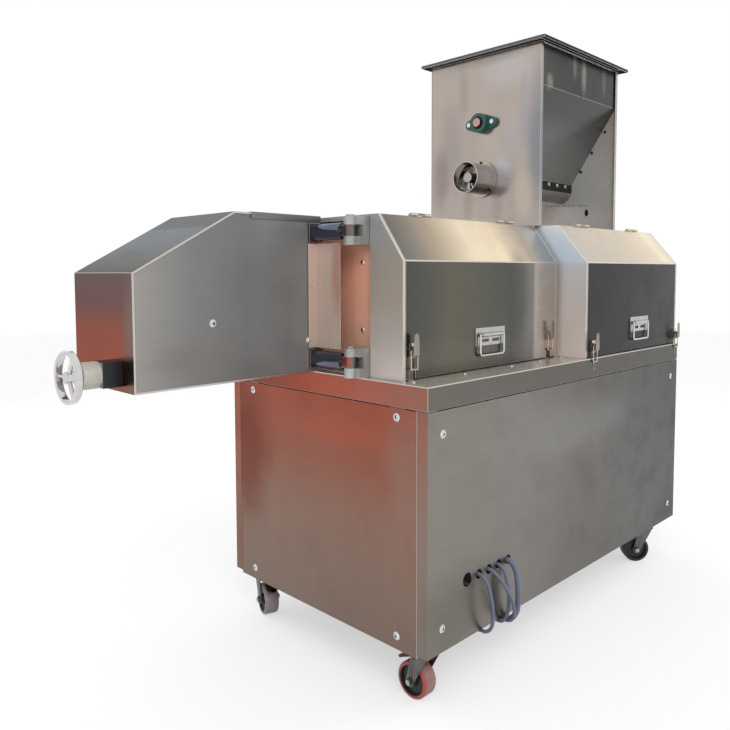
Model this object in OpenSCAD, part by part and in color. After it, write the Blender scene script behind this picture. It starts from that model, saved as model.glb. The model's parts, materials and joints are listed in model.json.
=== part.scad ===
// Corn extruder: a wheeled cabinet with a single-screw barrel, a swing-out cutter box and a feed hopper.
// The machine stands on the floor at z = 0. The operator's side faces -Y and the die end faces -X.

/* [Cabinet] */
// Length of the cabinet along the machine
cabinet_l = 1530; // [1480:1:1700]
// Width of the cabinet from front to back
cabinet_w = 835; // [815:1:900]
// Height from the cabinet's bottom edge to the top of the deck tray
cabinet_h = 700; // [690:1:800]
// Height of the cabinet's bottom edge above the floor
ground_clearance = 150; // [146:1:190]
// Depth of the deck tray's folded skirt
skirt_h = 63; // [50:1:75]
// Thickness of the sheet that panels, tray and covers are folded from
sheet_t = 2; // [1.5:0.1:2.5]
// Width of the side panels' flanges, folded round the corners
panel_return = 33; // [26:1:40]
// Gap between the panels and the tray's skirt
skirt_gap = 3; // [2:0.5:5]
// How far the end panels hang below the side panels
end_drop = 8; // [0:1:10]
// Side of the frame's square tube
tube_s = 40; // [36:1:44]
// Wall of the frame's square tube
tube_t = 3; // [2:0.5:4]

/* [Covers] */
// Height of the covers' vertical walls
cover_wall_h = 315; // [305:1:335]
// Height of the covers' flat roofs above the deck
cover_h = 441; // [436:1:460]
// Inset of the barrel cover from the cabinet's die end
barrel_cover_x = 25; // [20:1:30]
// Length of the barrel cover
barrel_cover_l = 762; // [750:1:770]
// Inset of the barrel cover from the cabinet's sides
barrel_cover_inset = 106; // [95:1:115]
// Sideways run of the barrel cover's sloping panels
barrel_cover_run = 90; // [80:1:100]
// Gap between the two covers
covers_gap = 18; // [14:1:24]
// Inset of the drive cover from the cabinet's sides
drive_cover_inset = 10; // [6:1:14]
// Sideways run of the drive cover's sloping panels
drive_cover_run = 109; // [95:1:120]

/* [Hopper] */
// Length of the hopper along the machine
hopper_l = 550; // [500:1:600]
// Width of the hopper from front to back
hopper_w = 478; // [440:1:500]
// Height of the hopper's plates above the covers
hopper_h = 624; // [600:1:670]
// Thickness of the hopper's end plates
hopper_plate_t = 3; // [2:0.5:4]
// Width of the hopper's outward rim
rim_w = 28; // [20:1:36]
// Height of the hopper's upright front and back bands
band_h = 148; // [130:1:165]
// Height of the feed tube's axis above the covers' roofs
feed_axis_h = 176; // [170:1:190]
// Outer radius of the feed tube
feed_tube_r = 54; // [52:1:58]
// Length of the feed tube in front of the hopper
feed_tube_l = 101; // [90:1:110]
// Outer radius of the trough under the hopper
trough_r = 50; // [48:1:51]
// Height of the agitator's axis above the feed tube's
agitator_rise = 198; // [190:1:210]

/* [Extruder] */
// Height of the extruder screw's axis above the deck
screw_axis_h = 210; // [200:1:216]
// Outer radius of the barrel
barrel_r = 58; // [55:1:62]
// Radius of the barrel's bore
barrel_bore_r = 36; // [33:1:38]
// Pitch of the extruder screw's flight
screw_pitch = 46; // [40:1:56]
// Radius of the drive shaft
drive_shaft_r = 24; // [20:1:26]
// Radius of the driven pulley
driven_pulley_r = 150; // [130:1:160]
// Radius of the motor's pulley
motor_pulley_r = 70; // [60:1:80]
// Height of the main motor's axis above the cabinet's bottom edge
motor_axis_h = 260; // [245:1:290]
// Radius of the main motor's body
motor_r = 130; // [115:1:140]

/* [Cutter box] */
// Length of the cutter box
box_l = 570; // [550:1:590]
// Width of the cutter box from front to back
box_w = 315; // [300:1:320]
// Distance from the machine's centreline to the cutter box's near face
box_near = 12; // [8:1:16]
// Height of the cutter box's end wall
box_end_h = 285; // [270:1:300]
// Run of the cutter box's sloping top
box_slope_run = 282; // [260:1:300]
// How far the cutter box reaches over the cabinet's end
box_overhang = 5; // [2:1:7]
// Radius of the cutter box's hinge arms
arm_r = 22; // [20:1:24]
// Height of the lower hinge arm above the deck
low_arm_h = 42; // [38:1:44]
// Height of the upper hinge arm above the deck
high_arm_h = 396; // [388:1:400]
// Radius of the handwheel
handwheel_r = 62; // [55:1:70]
// Reach of the knife blades from their shaft's axis
blade_r = 88; // [80:1:90]

/* [Casters] */
// Radius of the caster wheels
wheel_r = 50; // [48:1:52]
// Width of the caster wheels
wheel_w = 46; // [42:1:48]
// Distance from a caster's swivel axis to its axle
trail = 35; // [30:1:38]

/* [Hidden] */
$fn = 64;

// Running clearance of a pin or a shaft in its bore
fit = 0.05;
// Gap between a piece and the seat that carries it
seat = 0.3;
// Gap between folded sheets that don't move
gap = 1;
// Overrun of every cut
cut = 6;

// Levels and lines that several pieces share
deck_z = ground_clearance + cabinet_h;
skirt_z = deck_z - skirt_h;
panel_top_z = skirt_z - skirt_gap;
mid_y = cabinet_w / 2;
frame_in = sheet_t + seat;
eave_z = deck_z + cover_wall_h;
roof_z = deck_z + cover_h;
barrel_cover_end = barrel_cover_x + barrel_cover_l;
drive_cover_x = barrel_cover_end + covers_gap;
drive_cover_l = cabinet_l - drive_cover_x;
screw_z = deck_z + screw_axis_h;
motor_z = ground_clearance + motor_axis_h;
feed_z = roof_z + feed_axis_h;
agitator_z = feed_z + agitator_rise;

// Bolts that hold the panels
bolt_r = 4;
bolt_head_r = 7;
bolt_head_h = 4.5;
bolt_in_x = 59;
bolt_in_y = 105;
side_bolt_low = 64;
side_bolt_high = 574;
end_bolt_low = 29;
end_bolt_high = 611;
lug_half = 25;
lug_t = 6;

// Cable holes in the front panel, and the clamp bar behind it
hole_h = 161;
hole_z = ground_clearance + hole_h;
hole_pitch = 46;
first_cable_x = 217;
cable_holes = [for (i = [0:3]) first_cable_x + i * hole_pitch];
cable_hole_r = 14;
spare_hole_r = 19;
spare_hole_gap = 52;
spare_hole_x = first_cable_x - spare_hole_gap;

// The end opening of the barrel cover
end_opening_half = 191;
end_opening_strip = 14;
sill_h = 7;

// Hidden hinge, latch and handle sizes
hinge_pin_r = 2;
knuckle_r = 4;
knuckle_l = 30;
hinge_rise = 5;
hinge_inset_share = 0.16;
frame_strip = 10;
door_fold = 15;
door_drop = 4;

latch_pivot_w = 40;
latch_arm = 12;
latch_v = 8;
latch_tip_w = 98;
latch_wire_r = 1.8;
latch_base_half = 12;
latch_base_low = 32;
latch_base_high = 72;
latch_base_t = 2;
latch_ear_x = 6;
latch_ear_r = 5;
latch_flange_x = 8.5;
latch_leaf_t = 2;
latch_leg_x = 13;
latch_foot_w = 2;
latch_pin_r = 2;
latch_flange_top = 62;
latch_leaf_v = 15;
keeper_half = 9;
keeper_t = 2.5;
notch_half = 12;

handle_plate_l = 146;
handle_plate_h = 53;
handle_plate_t = 2.5;
handle_ridge_r = 6.5;
handle_out = 9;
handle_wire_r = 3.5;
handle_leg_x = 59;
handle_drop = 60;
handle_bend_r = 10;
handle_ridge_half = 53;
handle_pin_l = 12;
handle_plate_low = 32;
recess_l = 34;
recess_h = 9;
recess_x_share = 0.75;
recess_z_share = 2.4;

// Where the latches and handles sit along the covers
barrel_latch_near = 36;
barrel_latch_far = 52;
drive_latch_near = 42;
drive_latch_far = 20;
barrel_latches = [barrel_cover_x + barrel_latch_near, barrel_cover_end - barrel_latch_far];
drive_latches = [drive_cover_x + drive_latch_near, cabinet_l - drive_latch_far];
barrel_latch_foot = 27;
drive_latch_foot = -14;
barrel_handle_share = 0.5026;
drive_handle_share = 0.5434;
barrel_handle_x = barrel_cover_x + barrel_cover_l * barrel_handle_share;
drive_handle_x = drive_cover_x + drive_cover_l * drive_handle_share;
handle_h = 101;

// Hopper, feed and agitator
hopper_lap = 15;
hopper_x = drive_cover_x - hopper_lap;
hopper_end = hopper_x + hopper_l;
hopper_y = mid_y - hopper_w / 2;
hopper_top = roof_z + hopper_h;
hopper_foot = 40;
hopper_fold = 14;
band_in = 6;
feed_wall = 3;
feed_collar_r = 64;
feed_collar_l = 8;
auger_r = 43;
auger_shaft_r = 17.5;
auger_pitch = 80;
auger_t = 10;
agitator_shaft_r = 12.5;
agitator_reach = 108;
agitator_bar_r = 7;
agitator_step = 90;
rim_t = 2;
rim_fall = 10;
bearing_half = 49.5;
bearing_hub_r = 34;
bearing_tip_r = 17.5;
bearing_base_t = 12;
bearing_out = 30;
shaft_stub = 8;
sprocket_out = 44;
sprocket_x = hopper_end + sprocket_out;
sprocket_w = 8;
auger_sprocket_r = 34;
agitator_sprocket_r = 50;
auger_teeth = 13;
agitator_teeth = 19;
chain_t = 7;
arc_steps = 32;
gear_case = 100;
feed_motor_r = 48;
feed_motor_l = 190;
plinth_t = 10;

// Barrel, screw, thrust bearing and drive
bulkhead_x = 40;
bulkhead_t = 12;
die_x = 22;
die_t = 14;
die_r = 50;
die_hole_r = 3;
die_hole_ring = 8;
barrel_flange_r = 85;
barrel_flange_t = 16;
throat_l = 150;
throat_in = 47;
throat_x = barrel_cover_end - throat_in - throat_l;
throat_half = 80;
funnel_r = 88;
lantern_x = throat_x + throat_l;
funnel_x = throat_x + throat_l / 2;
funnel_t = 3;
throat_r = 32;
screw_gap = 0.5;
flight_t = 14;
lantern_r = 60;
lantern_bore_r = 42;
housing_in = 25;
housing_x = drive_cover_x + housing_in;
housing_l = 260;
housing_r = 95;
housing_cap_r = 106;
housing_cap_l = 22;
housing_foot_half = 130;
pulley_gap = 60;
pulley_x = housing_x + housing_l + pulley_gap;
pulley_w = 90;
belt_count = 4;
belt_pitch = 20;
belt_w = 13;
belt_t = 10;
groove_in = 9;
motor_l = 400;
motor_gap = 24;
motor_end = pulley_x - motor_gap;
motor_x = motor_end - motor_l;
motor_cap_l = 40;
fin_count = 28;
fin_h = 10;
fin_t = 4;
slot_margin = 26;

// Cutter box, its hinge and its carriage
box_end_x = box_overhang;
box_x = box_end_x - box_l;
box_y = mid_y - box_near;
box_far = box_y + box_w;
box_lift = 2;
box_z = deck_z + box_lift;
box_rim = 5;
box_floor_open = 265;
lid_lip = 15;
lid_l = 236;
hinge_x = -16;
hinge_off = 157.5;
hinge_y = mid_y - hinge_off;
arm_flange_t = 8;
arm_flange_half = 26;
arm_gap = 25;
tongue_t = 30;
tongue_w = 30;
eye_r = 16;
ear_r = 18;
ear_gap = 0.3;
pin_r = 8;
pin_head_r = 12;
pin_head_h = 4;
block_h = 77;
block_w = ear_r + end_opening_half - gap - hinge_off;
web_gap = 20;
guard_x = -15;
guard_reach = 104;
guard_clear = 4;
guard_fold = 26;
screw_off = 72.5;
screw_h = 47;
screw_line_y = mid_y + screw_off;
screw_line_z = deck_z + screw_h;
lead_r = 8;
lead_reach = 285;
lead_end = box_x + lead_reach;
adjuster_s = 60;
adjuster_l = 50;
collar_r = 32;
collar_l = 43;
wheel_out = 116;
wheel_x = box_x - wheel_out;
rim_sec_w = 18;
rim_sec_t = 8;
hub_r = 14;
hub_l = 30;
spoke_r = 5;
knife_off = 83;
knife_y = mid_y + knife_off;
rail_w = 30;
rail_h = 16;
rail_off = 58;
carriage_l = 200;
carriage_in = 235;
carriage_x = box_x + carriage_in;
carriage_t = 14;
carriage_half = 86;
nut_s = 40;
nut_h = 46;
knife_motor_r = 72;
knife_motor_l = 220;
knife_motor_in = 10;
knife_motor_x = carriage_x + knife_motor_in;
saddle_t = 12;
knife_shaft_r = 14;
knife_hub_r = 32;
knife_x = 2;
knife_hub_l = 14;
blade_t = 4;
blade_w = 30;
blade_count = 4;

// Casters: swivel axes, and the way each fork trails from its axis
caster_in_x = 58;
caster_in_y = 50;
plate_half = 42;
plate_t = 4;
race_h = 8;
race_r = 30;
crown_t = 5;
king_r = 6;
king_head_r = 11;
king_head_h = 5;
fork_t = 4;
fork_gap = 2.5;
fork_boss_r = 14;
fork_top_half = 27;
axle_r = 6;
axle_head_r = 10;
axle_head_h = 6;
wheel_tread = 11;
wheel_round = 5;
wheel_dish = 7;
pedal_l = 62;
pedal_w = 34;
pedal_t = 3;
pedal_shoe_r = 19;
pedal_tilt = 22;
pedal_pin_r = 4;
pedal_back = 20;
pedal_drop = 17;
caster_turns = [90, 135, 250, 20];

// Cables: radius, and points chosen by hand from the clamp to the coil
cable_rs = [5, 5, 5, 8];

// Further small sizes of the pieces above
latch_spacer = 6;
skirt_keeper_t = 1.5;
skirt_keeper_h = 26;
hinge_leaf = 9;
lug_drop = 90;
plate_half_x = 46;
far_caster_in = 161;
caster_back_shift = 19;
motor_foot_in = 60;
vent_rows = 8;
vent_l = 150;
vent_h = 8;
vent_gap = 40;
vent_pitch = 24;
trough_rise = 22;
bearing_dish = 12;
tooth_w = 3.5;
flight_steps = 24;
auger_inset = 14;
barrel_saddle_in = 60;
pulley_hole_r = 22;
pulley_hole_share = 0.58;
clamp_y = 14;
clamp_t = 22;
clamp_h = 44;
clamp_margin = 28;
clamp_foot = 8;
clamp_bore_l = 8;
coil_turns = 4;
coil_rings = 24;
coil_gap = 1.2;
coil_rs = [60, 60, 60, 96];
coil_hands = [1, 1, 1, -1];

cable_routes = [
  [[217, 22, 311], [217, 8, 311], [217, -6, 309], [218, -18, 302], [220, -27, 288], [223, -33, 266],
   [228, -37, 235], [234, -36, 195], [238, -27, 160], [241, -8, 142], [244, 18, 137], [250, 50, 122],
   [258, 85, 92], [268, 120, 62], [280, 152, 36], [296, 190, 12], [315, 260, 5], [335, 340, 5],
   [350, 396, 5], [350, 420, 5]],
  [[263, 22, 311], [263, 8, 311], [264, -7, 309], [267, -21, 301], [274, -33, 286], [285, -43, 262],
   [299, -50, 232], [314, -50, 195], [328, -38, 160], [338, -12, 141], [344, 18, 137], [352, 50, 122],
   [366, 85, 92], [386, 120, 62], [410, 152, 36], [442, 190, 12], [492, 245, 5], [556, 306, 5],
   [608, 356, 5], [630, 398, 5], [630, 420, 5]],
  [[309, 22, 311], [309, 8, 311], [309, -6, 309], [310, -16, 301], [312, -22, 286], [315, -26, 264],
   [319, -29, 235], [322, -27, 195], [323, -19, 162], [323, -4, 142], [325, 20, 137], [330, 50, 122],
   [340, 85, 92], [353, 120, 62], [370, 152, 36], [394, 190, 12], [425, 250, 5], [464, 335, 5],
   [490, 396, 5], [490, 420, 5]],
  [[355, 22, 311], [355, 8, 311], [355, -8, 308], [355, -20, 299], [355, -29, 282], [355, -34, 260],
   [354, -37, 232], [354, -37, 195], [355, -29, 162], [357, -8, 139], [362, 20, 134], [374, 50, 120],
   [394, 85, 94], [420, 120, 66], [450, 152, 40], [486, 190, 16], [550, 250, 8], [604, 308, 8],
   [638, 352, 8], [650, 392, 8], [650, 414, 8]]];
coil_starts = [for (route = cable_routes) route[len(route) - 1]];

// The origin is under the middle of the machine's bounding box
wheel_tip_x = wheel_x - rim_sec_w / 2;
function mid(a, b) = (a + b) / 2;
origin_x = mid(wheel_tip_x, cabinet_l + bolt_head_h);
front_tip_y = drive_cover_inset - latch_spacer - latch_leaf_v - latch_leaf_t;
origin_y = mid(front_tip_y, cabinet_w + bolt_head_h);

module machine() { translate([-origin_x, -origin_y, 0]) children(); }

// Extrusions and rods along each axis, from a start value and a length
module along_x(start, length) { translate([start, 0, 0]) rotate([90, 0, 90]) linear_extrude(length) children(); }
module along_y(start, length) { translate([0, start + length, 0]) rotate([90, 0, 0]) linear_extrude(length) children(); }
module rod_x(start, length, r, y, z) { translate([start, y, z]) rotate([0, 90, 0]) cylinder(h = length, r = r); }
module rod_y(start, length, r, x, z) { translate([x, start, z]) rotate([-90, 0, 0]) cylinder(h = length, r = r); }

// Square tubes of the frame
module tube_x(start, length, y, z) {
  along_x(start, length) translate([y, z]) tube_section();
}
module tube_y(start, length, x, z) {
  along_y(start, length) translate([x, z]) tube_section();
}
module tube_z(start, length, x, y) {
  translate([x, y, start]) linear_extrude(length) tube_section();
}
module tube_section() {
  difference() {
    square(tube_s);
    translate([tube_t, tube_t]) square(tube_s - 2 * tube_t);
  }
}

// A domed bolt head along +Z, and the same head with a shank that reaches back through a sheet
module dome(r, h) {
  sphere_r = (r * r + h * h) / (2 * h);
  rotate_extrude() intersection() {
    translate([0, h - sphere_r]) circle(sphere_r);
    square([r, h]);
  }
}
module panel_bolt() {
  union() {
    dome(bolt_head_r, bolt_head_h);
    translate([0, 0, -frame_in]) cylinder(h = frame_in + bolt_head_h / 4, r = bolt_r);
  }
}

// Round ends joined by straight tangents: circles of radius a at the origin and b at distance d along +X
module tangent_shape(a, b, d) {
  lean = acos((a - b) / d);
  union() {
    circle(a);
    translate([d, 0]) circle(b);
    polygon([[a * cos(lean), a * sin(lean)], [d + b * cos(lean), b * sin(lean)],
         [d + b * cos(lean), -b * sin(lean)], [a * cos(lean), -a * sin(lean)]]);
  }
}

// Bolt places on the front panel, as [x, z], and on an end panel, as [y, z]
side_bolts = [for (x = [bolt_in_x, cabinet_l - bolt_in_x], z = [side_bolt_low, side_bolt_high]) [x, ground_clearance + z]];
end_bolts = [for (y = [bolt_in_y, cabinet_w - bolt_in_y], z = [end_bolt_low, end_bolt_high]) [y, ground_clearance + z]];

// Places of the casters: die end front, drive end front, die end back, drive end back
caster_x = [caster_in_x, cabinet_l - far_caster_in, caster_in_x + caster_back_shift, cabinet_l - far_caster_in];
caster_y = [caster_in_y, caster_in_y, cabinet_w - caster_in_y, cabinet_w - caster_in_y];

module base_frame() {
  rail_l = cabinet_l - 2 * frame_in;
  cross_l = cabinet_w - 2 * frame_in - 2 * tube_s;
  back_y = cabinet_w - frame_in - tube_s;
  far_x = cabinet_l - frame_in - tube_s;
  top_z = deck_z - sheet_t - tube_s;
  low_cross = [frame_in, caster_x[1] - tube_s / 2, far_x, motor_x + motor_foot_in, motor_end - motor_foot_in - tube_s];
  top_cross = [frame_in, housing_x, housing_x + housing_l - tube_s, far_x];
  color("dimgray") machine() {
    for (y = [frame_in, back_y]) {
      tube_x(frame_in, rail_l, y, ground_clearance);
      tube_x(frame_in, rail_l, y, top_z);
      for (x = [frame_in, far_x])
        tube_z(ground_clearance + tube_s, top_z - ground_clearance - tube_s, x, y);
    }
    for (x = low_cross) tube_y(frame_in + tube_s, cross_l, x, ground_clearance);
    for (x = top_cross) tube_y(frame_in + tube_s, cross_l, x, top_z);
    // Lugs that the panels are bolted to
    for (b = side_bolts, side = [0, 1])
      translate([b[0] < mid(0, cabinet_l) ? frame_in + tube_s : far_x - lug_half,
            side == 0 ? frame_in : cabinet_w - frame_in - lug_t, b[1] - lug_half])
        cube([lug_half, lug_t, 2 * lug_half]);
    for (y = [bolt_in_y, cabinet_w - bolt_in_y], side = [0, 1])
      translate([side == 0 ? frame_in : cabinet_l - frame_in - lug_t, y - lug_half, top_z - lug_drop])
        cube([lug_t, 2 * lug_half, lug_drop]);
    // Caster plates, each with the stud that its fork swivels on
    for (i = [0:3]) translate([caster_x[i], caster_y[i], ground_clearance]) caster_plate();
  }
}
module caster_plate() {
  stud_l = plate_t + race_h + crown_t;
  union() {
    translate([-plate_half_x, -plate_half, -plate_t]) cube([2 * plate_half_x, 2 * plate_half, plate_t]);
    translate([0, 0, -stud_l - seat]) cylinder(h = stud_l, r = king_r);
    translate([0, 0, -stud_l - king_head_h - seat]) cylinder(h = king_head_h, r = king_head_r);
  }
}

// Side panels: a sheet with a flange folded round each end
module side_panel() {
  h = panel_top_z - ground_clearance;
  difference() {
    union() {
      translate([0, 0, ground_clearance]) cube([cabinet_l, sheet_t, h]);
      for (x = [0, cabinet_l - sheet_t])
        translate([x, 0, ground_clearance]) cube([sheet_t, panel_return, h]);
    }
    for (b = side_bolts) rod_y(-cut, 2 * cut, bolt_r + seat, b[0], b[1]);
  }
}
module side_panel_front() {
  color("darkkhaki") machine() difference() {
    side_panel();
    for (x = cable_holes) rod_y(-cut, 2 * cut, cable_hole_r, x, hole_z);
    rod_y(-cut, 2 * cut, spare_hole_r, spare_hole_x, hole_z);
  }
}
// The back panel has rows of ventilation slots behind the motor
module side_panel_back() {
  color("darkkhaki") machine() difference() {
    translate([0, cabinet_w, 0]) mirror([0, 1, 0]) side_panel();
    for (i = [0:vent_rows - 1], x = [motor_x, motor_x + vent_l + vent_gap])
      translate([x, cabinet_w - cut, motor_z + (i - vent_rows / 2) * vent_pitch])
        cube([vent_l, 2 * cut, vent_h]);
  }
}
module end_panels() {
  w = cabinet_w - 2 * (panel_return + gap);
  color("rosybrown") machine() for (x = [0, cabinet_l - sheet_t]) difference() {
    translate([x, panel_return + gap, ground_clearance - end_drop])
      cube([sheet_t, w, panel_top_z - ground_clearance + end_drop]);
    for (b = end_bolts) rod_x(x - cut, 2 * cut + sheet_t, bolt_r + seat, b[0], b[1]);
  }
}
module panel_bolts() {
  color("silver") machine() {
    for (b = side_bolts) {
      translate([b[0], 0, b[1]]) rotate([90, 0, 0]) panel_bolt();
      translate([b[0], cabinet_w, b[1]]) rotate([-90, 0, 0]) panel_bolt();
    }
    for (b = end_bolts) {
      translate([0, b[0], b[1]]) rotate([0, -90, 0]) panel_bolt();
      translate([cabinet_l, b[0], b[1]]) rotate([0, 90, 0]) panel_bolt();
    }
  }
}

// Deck tray with the belt slot, and the keepers that the latches pull on
module deck() {
  slot_half = driven_pulley_r + slot_margin;
  color("lightslategray") machine() {
    difference() {
      translate([0, 0, skirt_z]) cube([cabinet_l, cabinet_w, skirt_h]);
      translate([sheet_t, sheet_t, skirt_z - cut])
        cube([cabinet_l - 2 * sheet_t, cabinet_w - 2 * sheet_t, skirt_h + cut - sheet_t]);
      translate([pulley_x - slot_margin / 2, mid_y - slot_half, deck_z - cut])
        cube([pulley_w + slot_margin, 2 * slot_half, 2 * cut]);
    }
    for (x = barrel_latches) deck_keeper(x);
    for (x = drive_latches) skirt_keeper(x);
  }
}
// Stands on the deck inside the door's notch, with its lip over the latch's wire
module deck_keeper(x) {
  lip_z = deck_z + barrel_latch_foot + latch_foot_w + latch_wire_r + seat;
  translate([x - keeper_half, 0, 0]) along_x(0, 2 * keeper_half) union() {
    translate([barrel_cover_inset + sheet_t + gap, deck_z + seat]) square([keeper_t, lip_z + keeper_t - deck_z - seat]);
    translate([barrel_cover_inset - latch_v, lip_z])
      square([latch_v + sheet_t + gap + keeper_t, keeper_t]);
  }
}
// Hangs on the skirt's face, with its lip over the latch's wire
module skirt_keeper(x) {
  lip_z = deck_z + drive_latch_foot + latch_foot_w + latch_wire_r + seat;
  wire_y = drive_cover_inset - latch_spacer - latch_v;
  translate([x - keeper_half, 0, 0]) along_x(0, 2 * keeper_half) union() {
    translate([-skirt_keeper_t - seat, lip_z - skirt_keeper_h]) square([skirt_keeper_t, skirt_keeper_h + keeper_t]);
    translate([wire_y, lip_z]) square([-wire_y - seat, keeper_t]);
  }
}

// Cross-section of a cover, moved inwards by d: upright, slope and roof, mirrored about the centreline
function fold(run) = atan2(cover_h - cover_wall_h, run);
function half_outline(inset, run, d) = let (a = fold(run)) [
  [inset + d, deck_z],
  [inset + d, eave_z - d * (1 - sin(a)) / cos(a)],
  [inset + run + d * (1 - cos(a)) / sin(a), roof_z - d]];
function mirrored(points) = [for (i = [len(points) - 1:-1:0]) [cabinet_w - points[i][0], points[i][1]]];
function cover_outline(inset, run, d) = let (h = half_outline(inset, run, d)) concat(h, mirrored(h));

// Wall of the section between two depths
module cover_band(inset, run, outer, inner) {
  difference() {
    polygon(cover_outline(inset, run, outer));
    polygon(cover_outline(inset, run, inner));
  }
}
// The part of a section in front of the hinge line, or behind it
module door_side(inset, run, lift) {
  intersection() {
    children();
    translate([0, deck_z + lift]) square([inset + run - gap / 2, cover_h]);
  }
}
module fixed_side(inset, run) {
  intersection() {
    children();
    translate([inset + run + gap / 2, deck_z]) square([cabinet_w, cover_h]);
  }
}

// Where the hinges sit along a door, and their three knuckles
function hinge_starts(start, length) =
  [start + length * hinge_inset_share, start + length * (1 - hinge_inset_share) - 3 * knuckle_l];
module knuckle(start, length, inset, run) {
  rod_x(start, length, knuckle_r, inset + run, roof_z + hinge_rise);
}
module hinge_bores(start, length, inset, run) {
  for (x = hinge_starts(start, length))
    rod_x(x - gap, 3 * knuckle_l + 2 * gap, hinge_pin_r + fit, inset + run, roof_z + hinge_rise);
}
module hinge_pins(start, length, inset, run) {
  for (x = hinge_starts(start, length))
    rod_x(x, 3 * knuckle_l, hinge_pin_r, inset + run, roof_z + hinge_rise);
}
module fixed_knuckles(start, length, inset, run) {
  for (x = hinge_starts(start, length), side = [0, 2]) union() {
    knuckle(x + side * knuckle_l, knuckle_l, inset, run);
    translate([x + side * knuckle_l, inset + run, roof_z])
      cube([knuckle_l, hinge_leaf, hinge_rise]);
  }
}

// A cover without its door: end frames, back slope, back wall and roof
module cover_shell(start, length, inset, run) {
  union() {
    for (x = [start, start + length - sheet_t])
      along_x(x, sheet_t) polygon(cover_outline(inset, run, 0));
    for (x = [start, start + length - frame_strip])
      along_x(x, frame_strip) cover_band(inset, run, 0, sheet_t);
    along_x(start, length) fixed_side(inset, run) cover_band(inset, run, 0, sheet_t);
    fixed_knuckles(start + frame_strip, length - 2 * frame_strip, inset, run);
  }
}
module barrel_cover() {
  inner = barrel_cover_l - 2 * frame_strip;
  color("silver") machine() {
    difference() {
      cover_shell(barrel_cover_x, barrel_cover_l, barrel_cover_inset, barrel_cover_run);
      hinge_bores(barrel_cover_x + frame_strip, inner, barrel_cover_inset, barrel_cover_run);
      // Opening for the die, above a low sill
      translate([barrel_cover_x - cut, mid_y - end_opening_half, deck_z + sill_h])
        cube([sheet_t + 2 * cut, 2 * end_opening_half, cover_h - sill_h - end_opening_strip]);
      // Notches round the hinge blocks
      for (h = [low_arm_h, high_arm_h])
        translate([barrel_cover_x - cut, hinge_y + ear_r - block_w - gap, block_low(h) - gap])
          cube([sheet_t + 2 * cut, block_w + 2 * gap, block_top(h) - block_low(h) + 2 * gap]);
      rod_x(barrel_cover_end - cut, 2 * cut, lantern_r + gap, mid_y, screw_z);
      translate([funnel_x, mid_y, roof_z - cut]) cylinder(h = 2 * cut, r = funnel_r + gap);
    }
    hinge_pins(barrel_cover_x + frame_strip, inner, barrel_cover_inset, barrel_cover_run);
  }
}
module drive_cover() {
  inner = drive_cover_l - 2 * frame_strip;
  color("silver") machine() {
    difference() {
      cover_shell(drive_cover_x, drive_cover_l, drive_cover_inset, drive_cover_run);
      hinge_bores(drive_cover_x + frame_strip, inner, drive_cover_inset, drive_cover_run);
      rod_x(drive_cover_x - cut, 2 * cut, lantern_r + gap, mid_y, screw_z);
    }
    hinge_pins(drive_cover_x + frame_strip, inner, drive_cover_inset, drive_cover_run);
  }
}

// A door: front and slope in one folded sheet, with end folds, a knuckle for each hinge and latch notches
module door(start, length, inset, run, latches, notch_h) {
  x0 = start + frame_strip + gap;
  w = length - 2 * (frame_strip + gap);
  starts = hinge_starts(start + frame_strip, length - 2 * frame_strip);
  difference() {
    union() {
      along_x(x0, w) door_side(inset, run, door_drop) cover_band(inset, run, 0, sheet_t);
      for (x = [x0, x0 + w - sheet_t])
        along_x(x, sheet_t) door_side(inset, run - door_fold, door_drop)
          cover_band(inset, run, sheet_t / 2, door_fold);
      for (x = starts) intersection() {
        knuckle(x + knuckle_l + seat, knuckle_l - 2 * seat, inset, run);
        translate([x, inset, deck_z]) cube([3 * knuckle_l, run + knuckle_r, cover_h + hinge_rise + knuckle_r]);
      }
    }
    hinge_bores(start + frame_strip, length - 2 * frame_strip, inset, run);
    for (x = starts, side = [0, 2])
      translate([side * (knuckle_l - seat) - gap / 2, 0, 0])
        knuckle_notch(x, inset, run);
    for (x = latches)
      translate([x - notch_half, inset - cut, deck_z]) cube([2 * notch_half, 2 * cut, notch_h]);
  }
}
module knuckle_notch(x, inset, run) {
  rod_x(x, knuckle_l + 2 * seat + gap, knuckle_r + gap, inset + run, roof_z + hinge_rise);
}
module barrel_door() {
  lip_top = barrel_latch_foot + latch_foot_w + latch_wire_r + keeper_t + 2 * gap;
  color("gray") machine()
    door(barrel_cover_x, barrel_cover_l, barrel_cover_inset, barrel_cover_run, barrel_latches, lip_top);
}
module drive_door() {
  color("dimgray") machine()
    door(drive_cover_x, drive_cover_l, drive_cover_inset, drive_cover_run, [], 0);
}

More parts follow.
